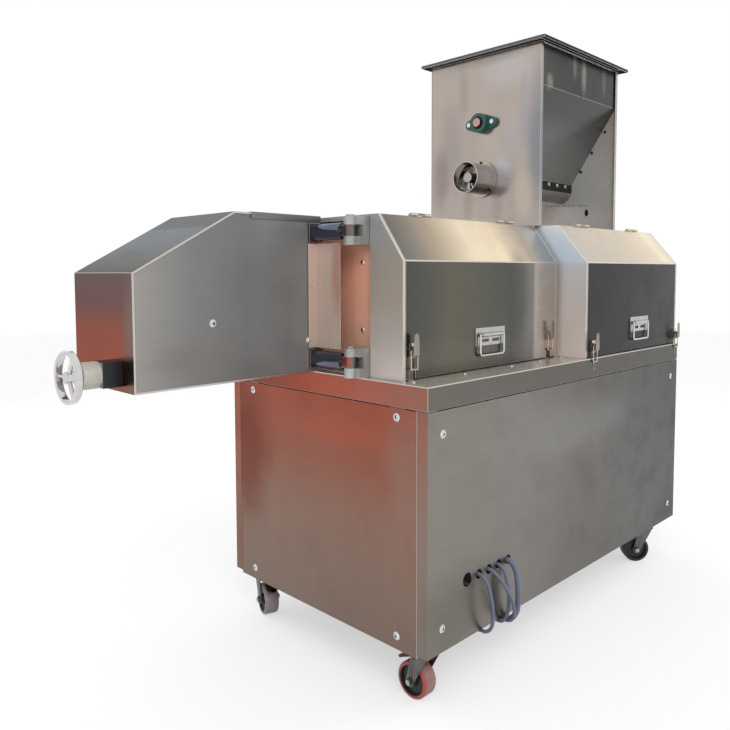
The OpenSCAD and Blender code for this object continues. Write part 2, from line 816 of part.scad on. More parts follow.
// Toggle latch, drawn with x across, -Y outwards from the door's face and z up from the wire's foot
module latch_base(spacer) {
  difference() {
    union() {
      translate([-latch_base_half, -latch_base_t - spacer, latch_base_low])
        cube([2 * latch_base_half, latch_base_t + spacer - seat, latch_base_high - latch_base_low]);
      for (side = [-1, 1])
        translate([side * latch_ear_x - latch_base_t / 2, 0, 0])
          along_x(0, latch_base_t) union() {
            translate([-latch_v - spacer, latch_pivot_w]) circle(latch_ear_r);
            translate([-latch_v - spacer, latch_pivot_w - latch_ear_r])
              square([latch_v, 2 * latch_ear_r]);
          }
    }
    rod_x(-latch_base_half, 2 * latch_base_half, latch_pin_r + fit, -latch_v - spacer, latch_pivot_w);
  }
}
module latch_lever(spacer) {
  flange_out = latch_flange_x + latch_base_t;
  tip_r = flange_out - latch_leaf_t;
  union() {
    // Leaf with a round tip
    translate([0, -spacer - latch_leaf_v, 0]) rotate([90, 0, 0]) linear_extrude(latch_leaf_t) union() {
      translate([-flange_out, latch_pivot_w]) square([2 * flange_out, latch_flange_top - latch_pivot_w]);
      polygon([[-flange_out, latch_flange_top], [flange_out, latch_flange_top],
           [tip_r, latch_tip_w - tip_r], [-tip_r, latch_tip_w - tip_r]]);
      translate([0, latch_tip_w - tip_r]) circle(tip_r);
    }
    difference() {
      for (side = [0, 1]) mirror([side, 0, 0])
        along_x(latch_flange_x, latch_base_t) union() {
          translate([-latch_v - spacer, latch_pivot_w]) circle(latch_ear_r);
          translate([-latch_leaf_v - spacer, latch_pivot_w])
            square([latch_leaf_v - latch_v + latch_ear_r - gap / 2, latch_flange_top - latch_pivot_w]);
        }
      rod_x(-latch_leg_x, 2 * latch_leg_x, latch_wire_r + fit, -latch_v - spacer, latch_pivot_w + latch_arm);
    }
    rod_x(-flange_out, 2 * flange_out, latch_pin_r, -latch_v - spacer, latch_pivot_w);
  }
}
module latch_loop(spacer) {
  top_w = latch_pivot_w + latch_arm;
  leg_l = top_w - latch_foot_w;
  end_l = latch_leg_x - latch_flange_x + gap / 2;
  translate([0, -latch_v - spacer, 0]) union() {
    for (side = [-1, 1]) {
      translate([side * latch_leg_x, 0, latch_foot_w]) cylinder(h = leg_l, r = latch_wire_r);
      for (w = [latch_foot_w, top_w]) translate([side * latch_leg_x, 0, w]) sphere(latch_wire_r);
      rod_x(side > 0 ? latch_leg_x - end_l : -latch_leg_x, end_l, latch_wire_r, 0, top_w);
    }
    rod_x(-latch_leg_x, 2 * latch_leg_x, latch_wire_r, 0, latch_foot_w);
  }
}
latch_places = [for (x = barrel_latches) [x, barrel_cover_inset, deck_z + barrel_latch_foot, 0],
        for (x = drive_latches) [x, drive_cover_inset, deck_z + drive_latch_foot, latch_spacer]];
module at_latch(i) { machine() translate([latch_places[i][0], latch_places[i][1], latch_places[i][2]]) children(); }
module numbered_lever(i) { color("lightgray") at_latch(i) latch_lever(latch_places[i][3]); }
module numbered_loop(i) { color("lightgray") at_latch(i) latch_loop(latch_places[i][3]); }

// Handle plate with a ridge that holds the bail's ends, drawn from the bail's axis on the door's face
module handle_plate() {
  difference() {
    union() {
      difference() {
        translate([-handle_plate_l / 2, -handle_plate_t, -handle_plate_low])
          cube([handle_plate_l, handle_plate_t - seat, handle_plate_h]);
        for (side = [-1, 1]) translate([side * recess_l * recess_x_share - recess_l / 2, -cut, -recess_h * recess_z_share])
          cube([recess_l, 2 * cut, recess_h]);
      }
      along_x(-handle_ridge_half, 2 * handle_ridge_half) union() {
        translate([-handle_out, 0]) circle(handle_ridge_r);
        translate([-handle_out, -handle_ridge_r]) square([handle_out - handle_plate_t / 2, 2 * handle_ridge_r]);
      }
    }
    for (side = [0, 1]) mirror([side, 0, 0])
      rod_x(handle_leg_x - handle_pin_l - gap, handle_pin_l + cut, handle_wire_r + fit, -handle_out, 0);
  }
}
module handle_bail() {
  leg_l = handle_drop - handle_bend_r;
  translate([0, -handle_out, 0]) union() for (side = [0, 1]) mirror([side, 0, 0]) {
    translate([handle_leg_x, 0, -leg_l]) cylinder(h = leg_l, r = handle_wire_r);
    translate([handle_leg_x, 0, 0]) sphere(handle_wire_r);
    rod_x(handle_leg_x - handle_pin_l, handle_pin_l, handle_wire_r, 0, 0);
    translate([handle_leg_x - handle_bend_r, 0, -leg_l]) rotate([-90, 0, 0])
      rotate_extrude(angle = 90) translate([handle_bend_r, 0]) circle(handle_wire_r, $fn = 32);
    rod_x(0, handle_leg_x - handle_bend_r, handle_wire_r, 0, -handle_drop);
  }
}
module at_barrel_handle() { translate([barrel_handle_x, barrel_cover_inset, deck_z + handle_h]) children(); }
module at_drive_handle() { translate([drive_handle_x, drive_cover_inset, deck_z + handle_h]) children(); }
module barrel_door_fittings() {
  color("silver") machine() {
    at_barrel_handle() handle_plate();
    for (x = barrel_latches)
      translate([x, barrel_cover_inset, deck_z + barrel_latch_foot]) latch_base(0);
  }
}
module drive_door_fittings() {
  color("silver") machine() {
    at_drive_handle() handle_plate();
    for (x = drive_latches)
      translate([x, drive_cover_inset, deck_z + drive_latch_foot]) latch_base(latch_spacer);
  }
}
module barrel_handle() { color("silver") machine() at_barrel_handle() handle_bail(); }
module drive_handle() { color("silver") machine() at_drive_handle() handle_bail(); }

// End plates of the hopper, with folded feet, front flanges and holes for the shafts
module hopper_end_plates() {
  color("tan") machine() for (side = [0, 1]) difference() {
    translate([side == 0 ? hopper_x : hopper_end, 0, 0]) mirror([side, 0, 0]) union() {
      translate([0, hopper_y, roof_z]) cube([hopper_plate_t, hopper_w, hopper_h - rim_fall]);
      translate([0, hopper_y, roof_z]) cube([hopper_foot, hopper_w, hopper_plate_t]);
      for (y = [hopper_y, hopper_y + hopper_w - hopper_plate_t])
        translate([0, y, roof_z]) cube([hopper_fold, hopper_plate_t, hopper_h - rim_fall]);
    }
    rod_x(hopper_x - cut, hopper_l + 2 * cut, agitator_shaft_r + gap, mid_y, agitator_z);
    rod_x(hopper_x - cut, hopper_l / 2, feed_tube_r + seat, mid_y, feed_z);
    rod_x(hopper_x + hopper_l / 2, hopper_l / 2 + cut, auger_shaft_r + gap, mid_y, feed_z);
  }
}

// Front and back bands, slopes and the trough: one folded section between the end plates
module hopper_section(d) {
  half = hopper_w / 2 - band_in - d;
  r = trough_r - d;
  union() {
    translate([mid_y, feed_z]) circle(r);
    polygon([[mid_y - half, hopper_top], [mid_y - half, hopper_top - band_h - d / 2],
         [mid_y - r, feed_z + trough_rise - d / 2], [mid_y - r, feed_z],
         [mid_y + r, feed_z], [mid_y + r, feed_z + trough_rise - d / 2],
         [mid_y + half, hopper_top - band_h - d / 2], [mid_y + half, hopper_top]]);
  }
}
module hopper_walls() {
  color("slategray") machine()
    along_x(hopper_x + hopper_plate_t, hopper_l - 2 * hopper_plate_t) difference() {
      hopper_section(0);
      hopper_section(sheet_t);
      translate([0, hopper_top - rim_fall]) square([cabinet_w, cut + rim_fall]);
    }
}
// Folded rim round the mouth: upstand on the plates' top edges, outward flange and turned-down lip
module rim_part(z, h, out, in) {
  difference() {
    translate([-out, -out, z]) cube([hopper_l + 2 * out, hopper_w + 2 * out, h]);
    translate([-in, -in, z - cut]) cube([hopper_l + 2 * in, hopper_w + 2 * in, h + 2 * cut]);
  }
}
module hopper_rim() {
  low = hopper_top - rim_fall;
  color("silver") machine() translate([hopper_x, hopper_y, 0]) union() {
    rim_part(low + rim_fall - rim_t, rim_t, rim_w, -band_in);
    rim_part(low, rim_fall, rim_w, rim_w - rim_t);
    rim_part(low, rim_fall, 0, -band_in);
  }
}
module feed_tube() {
  start = hopper_x - feed_tube_l;
  color("silver") machine() difference() {
    union() {
      rod_x(start, feed_tube_l + hopper_plate_t, feed_tube_r, mid_y, feed_z);
      rod_x(hopper_x - feed_collar_l, feed_collar_l - seat, feed_collar_r, mid_y, feed_z);
    }
    rod_x(start - cut, feed_tube_l + 2 * cut, feed_tube_r - feed_wall, mid_y, feed_z);
    rod_x(hopper_x, 2 * hopper_plate_t, trough_r + seat, mid_y, feed_z);
  }
}
// Two-bolt flange bearing along +X, on the plane x = 0
module flange_bearing(bore_r) {
  difference() {
    union() {
      rotate([90, 0, 90]) linear_extrude(bearing_base_t) for (side = [0, 1])
        mirror([side, 0, 0]) tangent_shape(bearing_hub_r, bearing_tip_r, bearing_half);
      rod_x(0, bearing_out, bearing_hub_r, 0, 0);
      for (side = [-1, 1]) translate([bearing_base_t, side * bearing_half, 0]) rotate([0, 90, 0])
        cylinder(h = bolt_head_h, r = bolt_head_r, $fn = 6);
    }
    rod_x(-cut, bearing_out + 2 * cut, bore_r + fit, 0, 0);
    rotate([0, 90, 0]) translate([0, 0, bearing_out - bolt_r])
      cylinder(h = bolt_head_h, r = bearing_hub_r - bearing_dish);
  }
}
module flange_bearings() {
  color("teal") machine() {
    translate([hopper_x, mid_y, agitator_z]) mirror([1, 0, 0]) flange_bearing(agitator_shaft_r);
    translate([hopper_end, mid_y, agitator_z]) flange_bearing(agitator_shaft_r);
    translate([hopper_end, mid_y, feed_z]) flange_bearing(auger_shaft_r);
  }
}
// Right-angle geared motor on a plinth over the drive cover's roof
module feed_motor() {
  case_x = sprocket_x + sprocket_w + gap * 4;
  color("slategray") machine() union() {
    difference() {
      translate([case_x, mid_y - gear_case / 2, feed_z - gear_case / 2]) cube(gear_case);
      rod_x(case_x - cut, gear_case + 2 * cut, auger_shaft_r + fit, mid_y, feed_z);
    }
    translate([case_x, mid_y - gear_case / 2, roof_z]) cube([gear_case, gear_case, plinth_t]);
    for (y = [mid_y - gear_case / 2, mid_y + gear_case / 2 - plinth_t])
      translate([case_x, y, roof_z]) cube([gear_case, plinth_t, feed_axis_h - gear_case / 2]);
    rod_y(mid_y + gear_case / 2, feed_motor_l, feed_motor_r, case_x + gear_case / 2, feed_z);
    for (i = [1:6]) rod_y(mid_y + gear_case / 2 + i * feed_motor_l / 8, fin_t, feed_motor_r + fin_h / 2,
               case_x + gear_case / 2, feed_z);
  }
}
// Outline of a loop round two wheels, in chords that keep clear of radii a and b
function loop_arc(centre, r, from, to) = let (step = (to - from) / arc_steps)
  [for (k = [0:arc_steps]) centre + r / cos(step / 2) * [cos(from + k * step), sin(from + k * step)]];
function loop_outline(a, b, d) = let (lean = acos((a - b) / d))
  concat(loop_arc([0, 0], a, lean, 360 - lean), loop_arc([d, 0], b, -lean, lean));
module loop_band(big, small, distance, thick) {
  difference() {
    polygon(loop_outline(big + thick, small + thick, distance));
    polygon(loop_outline(big, small, distance));
  }
}
// Chain from the auger's sprocket up to the agitator's
module feed_chain() {
  color("dimgray") machine() translate([0, mid_y, agitator_z]) along_x(sprocket_x, sprocket_w)
    rotate(-90) loop_band(agitator_sprocket_r + seat, auger_sprocket_r + seat, agitator_rise, chain_t);
}
module sprocket(r, teeth) {
  union() {
    circle(r - chain_t / 2);
    for (i = [0:teeth - 1]) rotate(i * 360 / teeth)
      polygon([[r - chain_t, -tooth_w], [r, -tooth_w / 2], [r, tooth_w / 2], [r - chain_t, tooth_w]]);
  }
}
// Helical flight round a shaft: a bar of the section swept round the X axis
module flight(start, length, inner, outer, pitch, thick) {
  steps = ceil(length / pitch * flight_steps);
  inner_clear = (inner + seat) / cos(180 / flight_steps);
  outer_clear = sqrt(outer * outer - thick * thick / 4);
  translate([start, 0, 0]) rotate([0, 90, 0])
    linear_extrude(length, twist = -360 * length / pitch, slices = steps, segments = 4)
      translate([inner_clear, -thick / 2]) square([outer_clear - inner_clear, thick]);
}
module feed_auger() {
  start = hopper_x - feed_tube_l + auger_inset;
  color("silver") machine() translate([0, mid_y, feed_z]) {
    rod_x(start, sprocket_x + sprocket_w + gear_case / 2 - start, auger_shaft_r, 0, 0);
    flight(start + shaft_stub, hopper_l + feed_tube_l - auger_inset - 2 * shaft_stub - hopper_plate_t,
        auger_shaft_r, auger_r, auger_pitch, auger_t);
    along_x(sprocket_x, sprocket_w) difference() {
      sprocket(auger_sprocket_r, auger_teeth);
      circle(auger_shaft_r + fit);
    }
  }
}
module agitator() {
  arms = floor((hopper_l - 2 * agitator_step) / agitator_step);
  color("silver") machine() translate([0, mid_y, agitator_z]) {
    union() {
      rod_x(hopper_x - bearing_out - shaft_stub, sprocket_x + 2 * sprocket_w - hopper_x + bearing_out + shaft_stub,
         agitator_shaft_r, 0, 0);
      for (i = [0:arms]) translate([hopper_x + agitator_step * (i + 1), 0, 0]) rotate([90 * i, 0, 0])
        translate([0, 0, -agitator_reach]) cylinder(h = 2 * agitator_reach, r = agitator_bar_r);
    }
    along_x(sprocket_x, sprocket_w) difference() {
      sprocket(agitator_sprocket_r, agitator_teeth);
      circle(agitator_shaft_r + fit);
    }
  }
}

// Barrel with its flange, die, feed throat and funnel
module barrel() {
  tube_start = bulkhead_x + bulkhead_t;
  color("lightgray") machine() {
    difference() {
      union() {
        rod_x(die_x + die_t, lantern_x - die_x - die_t, barrel_r, mid_y, screw_z);
        rod_x(tube_start + seat, barrel_flange_t, barrel_flange_r, mid_y, screw_z);
        for (x = [throat_x - barrel_flange_t, mid(tube_start, throat_x)])
          rod_x(x, barrel_flange_t, barrel_flange_r, mid_y, screw_z);
        translate([throat_x, mid_y - throat_half, screw_z - throat_half])
          cube([throat_l, 2 * throat_half, 2 * throat_half]);
      }
      rod_x(die_x, lantern_x - die_x + cut, barrel_bore_r, mid_y, screw_z);
      translate([funnel_x, mid_y, screw_z]) cylinder(h = throat_half + cut, r = throat_r);
    }
    // Die plate with a ring of outlets
    difference() {
      rod_x(die_x, die_t, die_r, mid_y, screw_z);
      for (a = [0, 120, 240])
        rod_x(die_x - cut, die_t + 2 * cut, die_hole_r, mid_y + die_hole_ring * cos(a), screw_z + die_hole_ring * sin(a));
    }
    // Saddles that carry the barrel on the deck
    for (x = [mid(tube_start, throat_x) - barrel_saddle_in, throat_x + throat_l / 2])
      translate([x - saddle_t, mid_y - throat_half / 2, deck_z])
        cube([2 * saddle_t, throat_half, screw_axis_h - (x > throat_x ? throat_half : barrel_r + seat)]);
    translate([funnel_x, mid_y, 0]) rotate_extrude()
      polygon([[throat_r, screw_z + throat_half], [throat_r, screw_z + throat_half + funnel_t],
           [funnel_r - funnel_t, roof_z], [funnel_r, roof_z],
           [throat_r + funnel_t * 3, screw_z + throat_half + funnel_t],
           [throat_r + funnel_t * 3, screw_z + throat_half]]);
  }
}
// Upright plate at the die end that carries the barrel's front and the hinge blocks
module bulkhead() {
  half = end_opening_half - gap;
  h = cover_h - end_opening_strip - 2 * gap;
  color("rosybrown") machine() difference() {
    translate([bulkhead_x, mid_y - half, deck_z]) cube([bulkhead_t, 2 * half, h]);
    rod_x(bulkhead_x - cut, bulkhead_t + 2 * cut, barrel_r + seat, mid_y, screw_z);
  }
}
// Clevis blocks on the bulkhead, and the vertical pins that the arms turn on
function block_low(h) = deck_z + (h == low_arm_h ? 0 : h - block_h / 2);
function block_top(h) = deck_z + h + block_h / 2;
module hinge_blocks() {
  color("lightgray") machine() for (h = [low_arm_h, high_arm_h]) {
    low = block_low(h);
    top = block_top(h);
    ear_top = deck_z + h - tongue_t / 2 - ear_gap;
    difference() {
      translate([hinge_x, hinge_y, low]) linear_extrude(top - low) union() {
        circle(ear_r);
        translate([0, ear_r - block_w]) square([bulkhead_x - hinge_x, block_w]);
      }
      translate([hinge_x - ear_r - cut, hinge_y - ear_r - block_w, ear_top])
        cube([ear_r + cut + web_gap, 2 * block_w, tongue_t + 2 * ear_gap]);
      translate([hinge_x, hinge_y, low - cut]) cylinder(h = top - low + 2 * cut, r = pin_r + fit);
    }
    translate([hinge_x, hinge_y, low]) union() {
      cylinder(h = top - low + seat, r = pin_r);
      translate([0, 0, top - low + seat]) cylinder(h = pin_head_h, r = pin_head_r);
    }
  }
}
module extruder_screw() {
  start = die_x + die_t + screw_gap;
  flight_end = lantern_x - barrel_flange_t;
  color("gray") machine() translate([0, mid_y, screw_z]) {
    rod_x(start, pulley_x + pulley_w + shaft_stub - start, drive_shaft_r, 0, 0);
    flight(start + shaft_stub, flight_end - start, drive_shaft_r, barrel_bore_r - screw_gap, screw_pitch, flight_t);
  }
}
// Lantern tube and thrust bearing housing on its pedestal
module bearing_housing() {
  pedestal_w = housing_l / 4;
  color("steelblue") machine() difference() {
    union() {
      rod_x(lantern_x, housing_x - lantern_x + housing_cap_l, lantern_r, mid_y, screw_z);
      rod_x(housing_x, housing_l, housing_r, mid_y, screw_z);
      for (x = [housing_x, housing_x + housing_l - housing_cap_l])
        rod_x(x, housing_cap_l, housing_cap_r, mid_y, screw_z);
      translate([housing_x, mid_y - housing_foot_half, deck_z])
        cube([housing_l, 2 * housing_foot_half, housing_cap_l]);
      for (x = [housing_x + pedestal_w / 2, housing_x + housing_l - 1.5 * pedestal_w])
        translate([x, mid_y - housing_r, deck_z]) cube([pedestal_w, 2 * housing_r, screw_axis_h]);
    }
    rod_x(lantern_x - cut, housing_x - lantern_x + cut, lantern_bore_r, mid_y, screw_z);
    rod_x(lantern_x, housing_l + housing_x - lantern_x + cut, drive_shaft_r + fit, mid_y, screw_z);
  }
}

// A grooved pulley from x = 0, as a section turned round the axis
module pulley(r, bore_r) {
  first = pulley_w / 2 - (belt_count - 1) * belt_pitch / 2;
  grooves = [for (i = [0:belt_count - 1], p = [[-belt_w / 2 - gap * 2, r], [-belt_w / 2 - gap / 2, r - groove_in],
        [belt_w / 2 + gap / 2, r - groove_in], [belt_w / 2 + gap * 2, r]])
        [p[1], first + i * belt_pitch + p[0]]];
  rotate([0, 90, 0]) rotate_extrude()
    polygon(concat([[bore_r, 0], [r, 0]], grooves, [[r, pulley_w], [bore_r, pulley_w]]));
}
module driven_pulley() {
  color("dimgray") machine() translate([pulley_x, mid_y, screw_z]) difference() {
    pulley(driven_pulley_r, drive_shaft_r + fit);
    for (a = [0:60:300]) rod_x(-cut, pulley_w + 2 * cut, pulley_hole_r,
                  driven_pulley_r * pulley_hole_share * cos(a), driven_pulley_r * pulley_hole_share * sin(a));
  }
}
module motor_pulley() {
  color("dimgray") machine() union() {
    translate([pulley_x, mid_y, motor_z]) pulley(motor_pulley_r, 0);
    rod_x(motor_end - motor_cap_l, pulley_x - motor_end + motor_cap_l, drive_shaft_r, mid_y, motor_z);
  }
}
module drive_belts() {
  first = pulley_x + pulley_w / 2 - (belt_count - 1) * belt_pitch / 2 - belt_w / 2;
  color("black") machine() for (i = [0:belt_count - 1])
    translate([0, mid_y, screw_z]) along_x(first + i * belt_pitch, belt_w) rotate(-90)
      loop_band(driven_pulley_r - groove_in + seat, motor_pulley_r - groove_in + seat, screw_z - motor_z, belt_t);
}
module main_motor() {
  foot_z = ground_clearance + tube_s;
  color("steelblue") machine() difference() {
    union() {
      rod_x(motor_x, motor_l, motor_r - fin_h, mid_y, motor_z);
      for (x = [motor_x, motor_end - motor_cap_l]) rod_x(x, motor_cap_l, motor_r, mid_y, motor_z);
      translate([motor_x + motor_cap_l / 2, mid_y, motor_z]) for (i = [0:fin_count - 1])
        rotate([i * 360 / fin_count, 0, 0]) translate([0, -fin_t / 2, motor_r - 2 * fin_h])
          cube([motor_l - motor_cap_l, fin_t, 2 * fin_h]);
      for (x = [motor_x + motor_foot_in, motor_end - motor_foot_in - tube_s])
        translate([x, mid_y - motor_r, foot_z]) cube([tube_s, 2 * motor_r, motor_z - foot_z - motor_r / 3]);
      translate([motor_x + motor_l / 3, mid_y - motor_cap_l, motor_z + motor_r - fin_h])
        cube([3 * motor_cap_l, 2 * motor_cap_l, motor_cap_l]);
    }
    rod_x(motor_end - motor_cap_l - gap, motor_cap_l + cut, drive_shaft_r + fit, mid_y, motor_z);
  }
}

// Side view of the cutter box, moved inwards by d
function box_outline(d) = let (rise = cover_h - box_end_h, a = atan2(rise, box_slope_run)) [
  [box_x + d, box_z + d],
  [box_x + d, deck_z + box_end_h - d * (1 - sin(a)) / cos(a)],
  [box_x + box_slope_run + d * (1 - cos(a)) / sin(a), roof_z - d],
  [box_end_x, roof_z - d], [box_end_x, box_z + d]];
module cutter_box() {
  color("gray") machine() {
    // Shell: end wall, slope, top, part of the floor and the far side, with a rim round the near side
    difference() {
      union() {
        along_y(box_y, box_w) difference() { polygon(box_outline(0)); polygon(box_outline(sheet_t)); box_mouth(); }
        along_y(box_far - sheet_t, sheet_t) polygon(box_outline(0));
        along_y(box_y, sheet_t) difference() {
          polygon(box_outline(0));
          intersection() {
            polygon(box_outline(box_rim));
            translate([box_x, box_z]) square([box_l - box_rim, cover_h]);
          }
        }
      }
      translate([box_end_x - box_floor_open, box_y + 2 * box_rim, box_z - cut])
        cube([box_floor_open + cut, box_w - 4 * box_rim, 2 * cut]);
      rod_x(box_x - cut, 2 * cut, lead_r + gap, screw_line_y, screw_line_z);
    }
    // Lid with a lip over each side
    translate([box_end_x - lid_l, 0, 0]) along_x(0, lid_l) difference() {
      translate([box_y - sheet_t - seat, roof_z + seat - lid_lip])
        square([box_w + 2 * (sheet_t + seat), lid_lip + sheet_t]);
      translate([box_y - seat, roof_z + seat - lid_lip - cut]) square([box_w + 2 * seat, lid_lip + cut]);
    }
    // Rails for the carriage
    for (side = [-1, 1]) translate([box_x + 4 * box_rim, knife_y + side * rail_off - rail_w / 2, box_z + sheet_t])
      cube([box_l - box_floor_open - 4 * box_rim, rail_w, rail_h]);
    for (h = [low_arm_h, high_arm_h]) hinge_arm(deck_z + h);
  }
}
module box_mouth() {
  translate([box_end_x - cut, box_z + sheet_t]) square([2 * cut, cover_h - 2 * sheet_t - gap]);
}
// Arm with its flange on the box's near side and a bored tongue at the pivot
module hinge_arm(z) {
  bar_start = hinge_y + arm_gap;
  difference() {
    union() {
      rod_y(bar_start, box_y - bar_start, arm_r, hinge_x, z);
      translate([hinge_x - arm_flange_half, box_y - arm_flange_t, z - arm_flange_half])
        cube([arm_flange_half + box_end_x - hinge_x, arm_flange_t + sheet_t, 2 * arm_flange_half]);
      translate([hinge_x, hinge_y, z - tongue_t / 2]) linear_extrude(tongue_t) union() {
        circle(eye_r);
        translate([-tongue_w / 2, 0]) square([tongue_w, arm_gap + arm_r / 2]);
      }
    }
    translate([hinge_x, hinge_y, z - tongue_t]) cylinder(h = 2 * tongue_t, r = pin_r + fit);
  }
}
module cutter_side_panel() {
  color("gray") machine() along_y(box_y + sheet_t + seat, sheet_t) intersection() {
    polygon(box_outline(sheet_t + seat));
    translate([box_x, box_z]) square([box_l - seat, cover_h]);
  }
}
// Guard between the arms, with a fold along the box's near side
module knife_guard() {
  low = deck_z + low_arm_h + arm_flange_half + guard_clear;
  h = high_arm_h - low_arm_h - 2 * (arm_flange_half + guard_clear);
  color("rosybrown") machine() union() {
    translate([guard_x, box_y - seat - guard_reach, low]) cube([sheet_t, guard_reach, h]);
    translate([guard_x - guard_fold, box_y - seat - sheet_t, low])
      cube([box_end_x - guard_x + guard_fold, sheet_t, h]);
  }
}
// Square block and round collar that guide the handwheel's screw
module adjuster() {
  color("black") machine() difference() {
    union() {
      translate([box_x - adjuster_l, screw_line_y - adjuster_s / 2, screw_line_z - adjuster_s / 2])
        cube([adjuster_l - seat, adjuster_s, adjuster_s]);
      rod_x(box_x - adjuster_l - collar_l, collar_l, collar_r, screw_line_y, screw_line_z);
    }
    rod_x(box_x - adjuster_l - collar_l - cut, adjuster_l + collar_l + 2 * cut, lead_r + fit, screw_line_y, screw_line_z);
  }
}
// A rectangle with its corners cut at 45 degrees
module bevelled(w, h, c) {
  polygon([[c, 0], [w - c, 0], [w, c], [w, h - c], [w - c, h], [c, h], [0, h - c], [0, c]]);
}
module handwheel() {
  hub_x = wheel_x - rim_sec_w / 2 + gap;
  color("silver") machine() translate([0, screw_line_y, screw_line_z]) union() {
    translate([wheel_x - rim_sec_w / 2, 0, 0]) rotate([0, 90, 0]) rotate_extrude()
      translate([handwheel_r - rim_sec_t, 0]) bevelled(rim_sec_t, rim_sec_w, rim_sec_t / 4);
    rod_x(hub_x, hub_l, hub_r, 0, 0);
    for (a = [30, 150, 270]) translate([wheel_x, 0, 0]) rotate([a, 0, 0])
      cylinder(h = handwheel_r - rim_sec_t / 2, r = spoke_r);
    rod_x(hub_x + gap, lead_end - hub_x - gap, lead_r, 0, 0);
  }
}
// Carriage on the box's rails, with the nut of the handwheel's screw, a saddle and the knife's motor
module cutter_carriage() {
  low = box_z + sheet_t + rail_h + seat;
  motor_low = screw_z - knife_motor_r;
  color("steelblue") machine() difference() {
    union() {
      translate([carriage_x, knife_y - carriage_half, low]) cube([carriage_l, 2 * carriage_half, carriage_t]);
      for (side = [-1, 1]) translate([carriage_x, knife_y + side * (carriage_half - saddle_t / 2) - saddle_t / 2,
                      low - rail_h / 2])
        cube([carriage_l, saddle_t, rail_h / 2 + seat]);
      translate([carriage_x, screw_line_y - nut_s / 2, low]) cube([nut_s, nut_s, nut_h]);
      for (x = [carriage_x + nut_s + saddle_t, carriage_x + carriage_l - saddle_t])
        translate([x, knife_y - knife_motor_r, low])
          cube([saddle_t, 2 * knife_motor_r, motor_low + knife_motor_r / 2 - low]);
      rod_x(knife_motor_x, knife_motor_l, knife_motor_r, knife_y, screw_z);
      rod_x(knife_motor_x + knife_motor_l, saddle_t, knife_motor_r / 2, knife_y, screw_z);
      for (i = [1:7]) rod_x(knife_motor_x + i * knife_motor_l / 9, fin_t, knife_motor_r + fin_h / 2, knife_y, screw_z);
    }
    rod_x(carriage_x - cut, carriage_l, lead_r + fit, screw_line_y, screw_line_z);
    rod_x(knife_motor_x + knife_motor_l - saddle_t, 3 * saddle_t, knife_shaft_r + fit, knife_y, screw_z);
  }
}
// Knife: shaft, hub and blades that sweep across the die
module knife_rotor() {
  shaft_start = knife_motor_x + knife_motor_l - saddle_t + gap;
  color("silver") machine() translate([0, knife_y, screw_z]) union() {
    rod_x(shaft_start, knife_x - shaft_start + knife_hub_l / 2, knife_shaft_r, 0, 0);
    rod_x(knife_x, knife_hub_l, knife_hub_r, 0, 0);
    for (i = [0:blade_count - 1]) rotate([i * 360 / blade_count + 180, 0, 0])
      translate([knife_x + knife_hub_l - blade_t, 0, 0]) rotate([90, 0, 90]) linear_extrude(blade_t)
        polygon([[0, -blade_w / 2], [blade_r - blade_w / 2, -blade_w / 2], [blade_r - blade_t, 0],
             [blade_r - blade_w / 2, blade_w / 2], [0, blade_w / 2]]);
  }
}

// A caster's fork, drawn with the swivel axis at the origin and the wheel trailing along +X
module at_caster(i) { machine() translate([caster_x[i], caster_y[i], 0]) rotate(caster_turns[i]) children(); }
module fork() {
  crown_top = ground_clearance - plate_t - race_h;
  leg_y = wheel_w / 2 + fork_gap;
  difference() {
    union() {
      translate([0, 0, crown_top - crown_t / 2]) cylinder(h = race_h + crown_t / 2 - seat, r = race_r);
      translate([-fork_top_half, -leg_y - fork_t, crown_top - crown_t])
        cube([2 * fork_top_half, 2 * (leg_y + fork_t), crown_t]);
      for (y = [-leg_y - fork_t, leg_y]) along_y(y, fork_t) union() {
        polygon([[-fork_top_half, crown_top], [fork_top_half, crown_top],
             [trail + fork_boss_r, wheel_r], [trail - fork_boss_r, wheel_r]]);
        translate([trail, wheel_r]) circle(fork_boss_r);
      }
    }
    cylinder(h = ground_clearance, r = king_r + fit);
    rod_y(-leg_y - 2 * fork_t, 2 * leg_y + 4 * fork_t, axle_r + fit, trail, wheel_r);
    rod_y(-leg_y - 2 * fork_t, 2 * leg_y + 4 * fork_t, pedal_pin_r + fit, pedal_back, crown_top - pedal_drop);
  }
  // Axle with a head on each end
  rod_y(-leg_y - fork_t, 2 * (leg_y + fork_t), axle_r, trail, wheel_r);
  for (y = [-leg_y - fork_t - axle_head_h, leg_y + fork_t]) rod_y(y, axle_head_h, axle_head_r, trail, wheel_r);
}
module wheel() {
  tread_r = wheel_r - wheel_tread;
  translate([trail, 0, wheel_r]) rotate([90, 0, 0]) {
    rotate_extrude() translate([0, -wheel_w / 2]) difference() {
      translate([tread_r, 0]) square([wheel_tread, wheel_w]);
      for (side = [0, 1]) translate([wheel_r, side * wheel_w]) rotate(45)
        square(wheel_round, center = true);
    }
    rotate_extrude() translate([0, -wheel_w / 2]) difference() {
      translate([axle_r + fit, 0]) square([tread_r - axle_r - 2 * fit, wheel_w]);
      for (side = [0, 1]) translate([axle_head_r + wheel_dish, side * (wheel_w - wheel_dish)])
        square([tread_r - axle_head_r - 2 * wheel_dish, wheel_dish]);
    }
  }
}
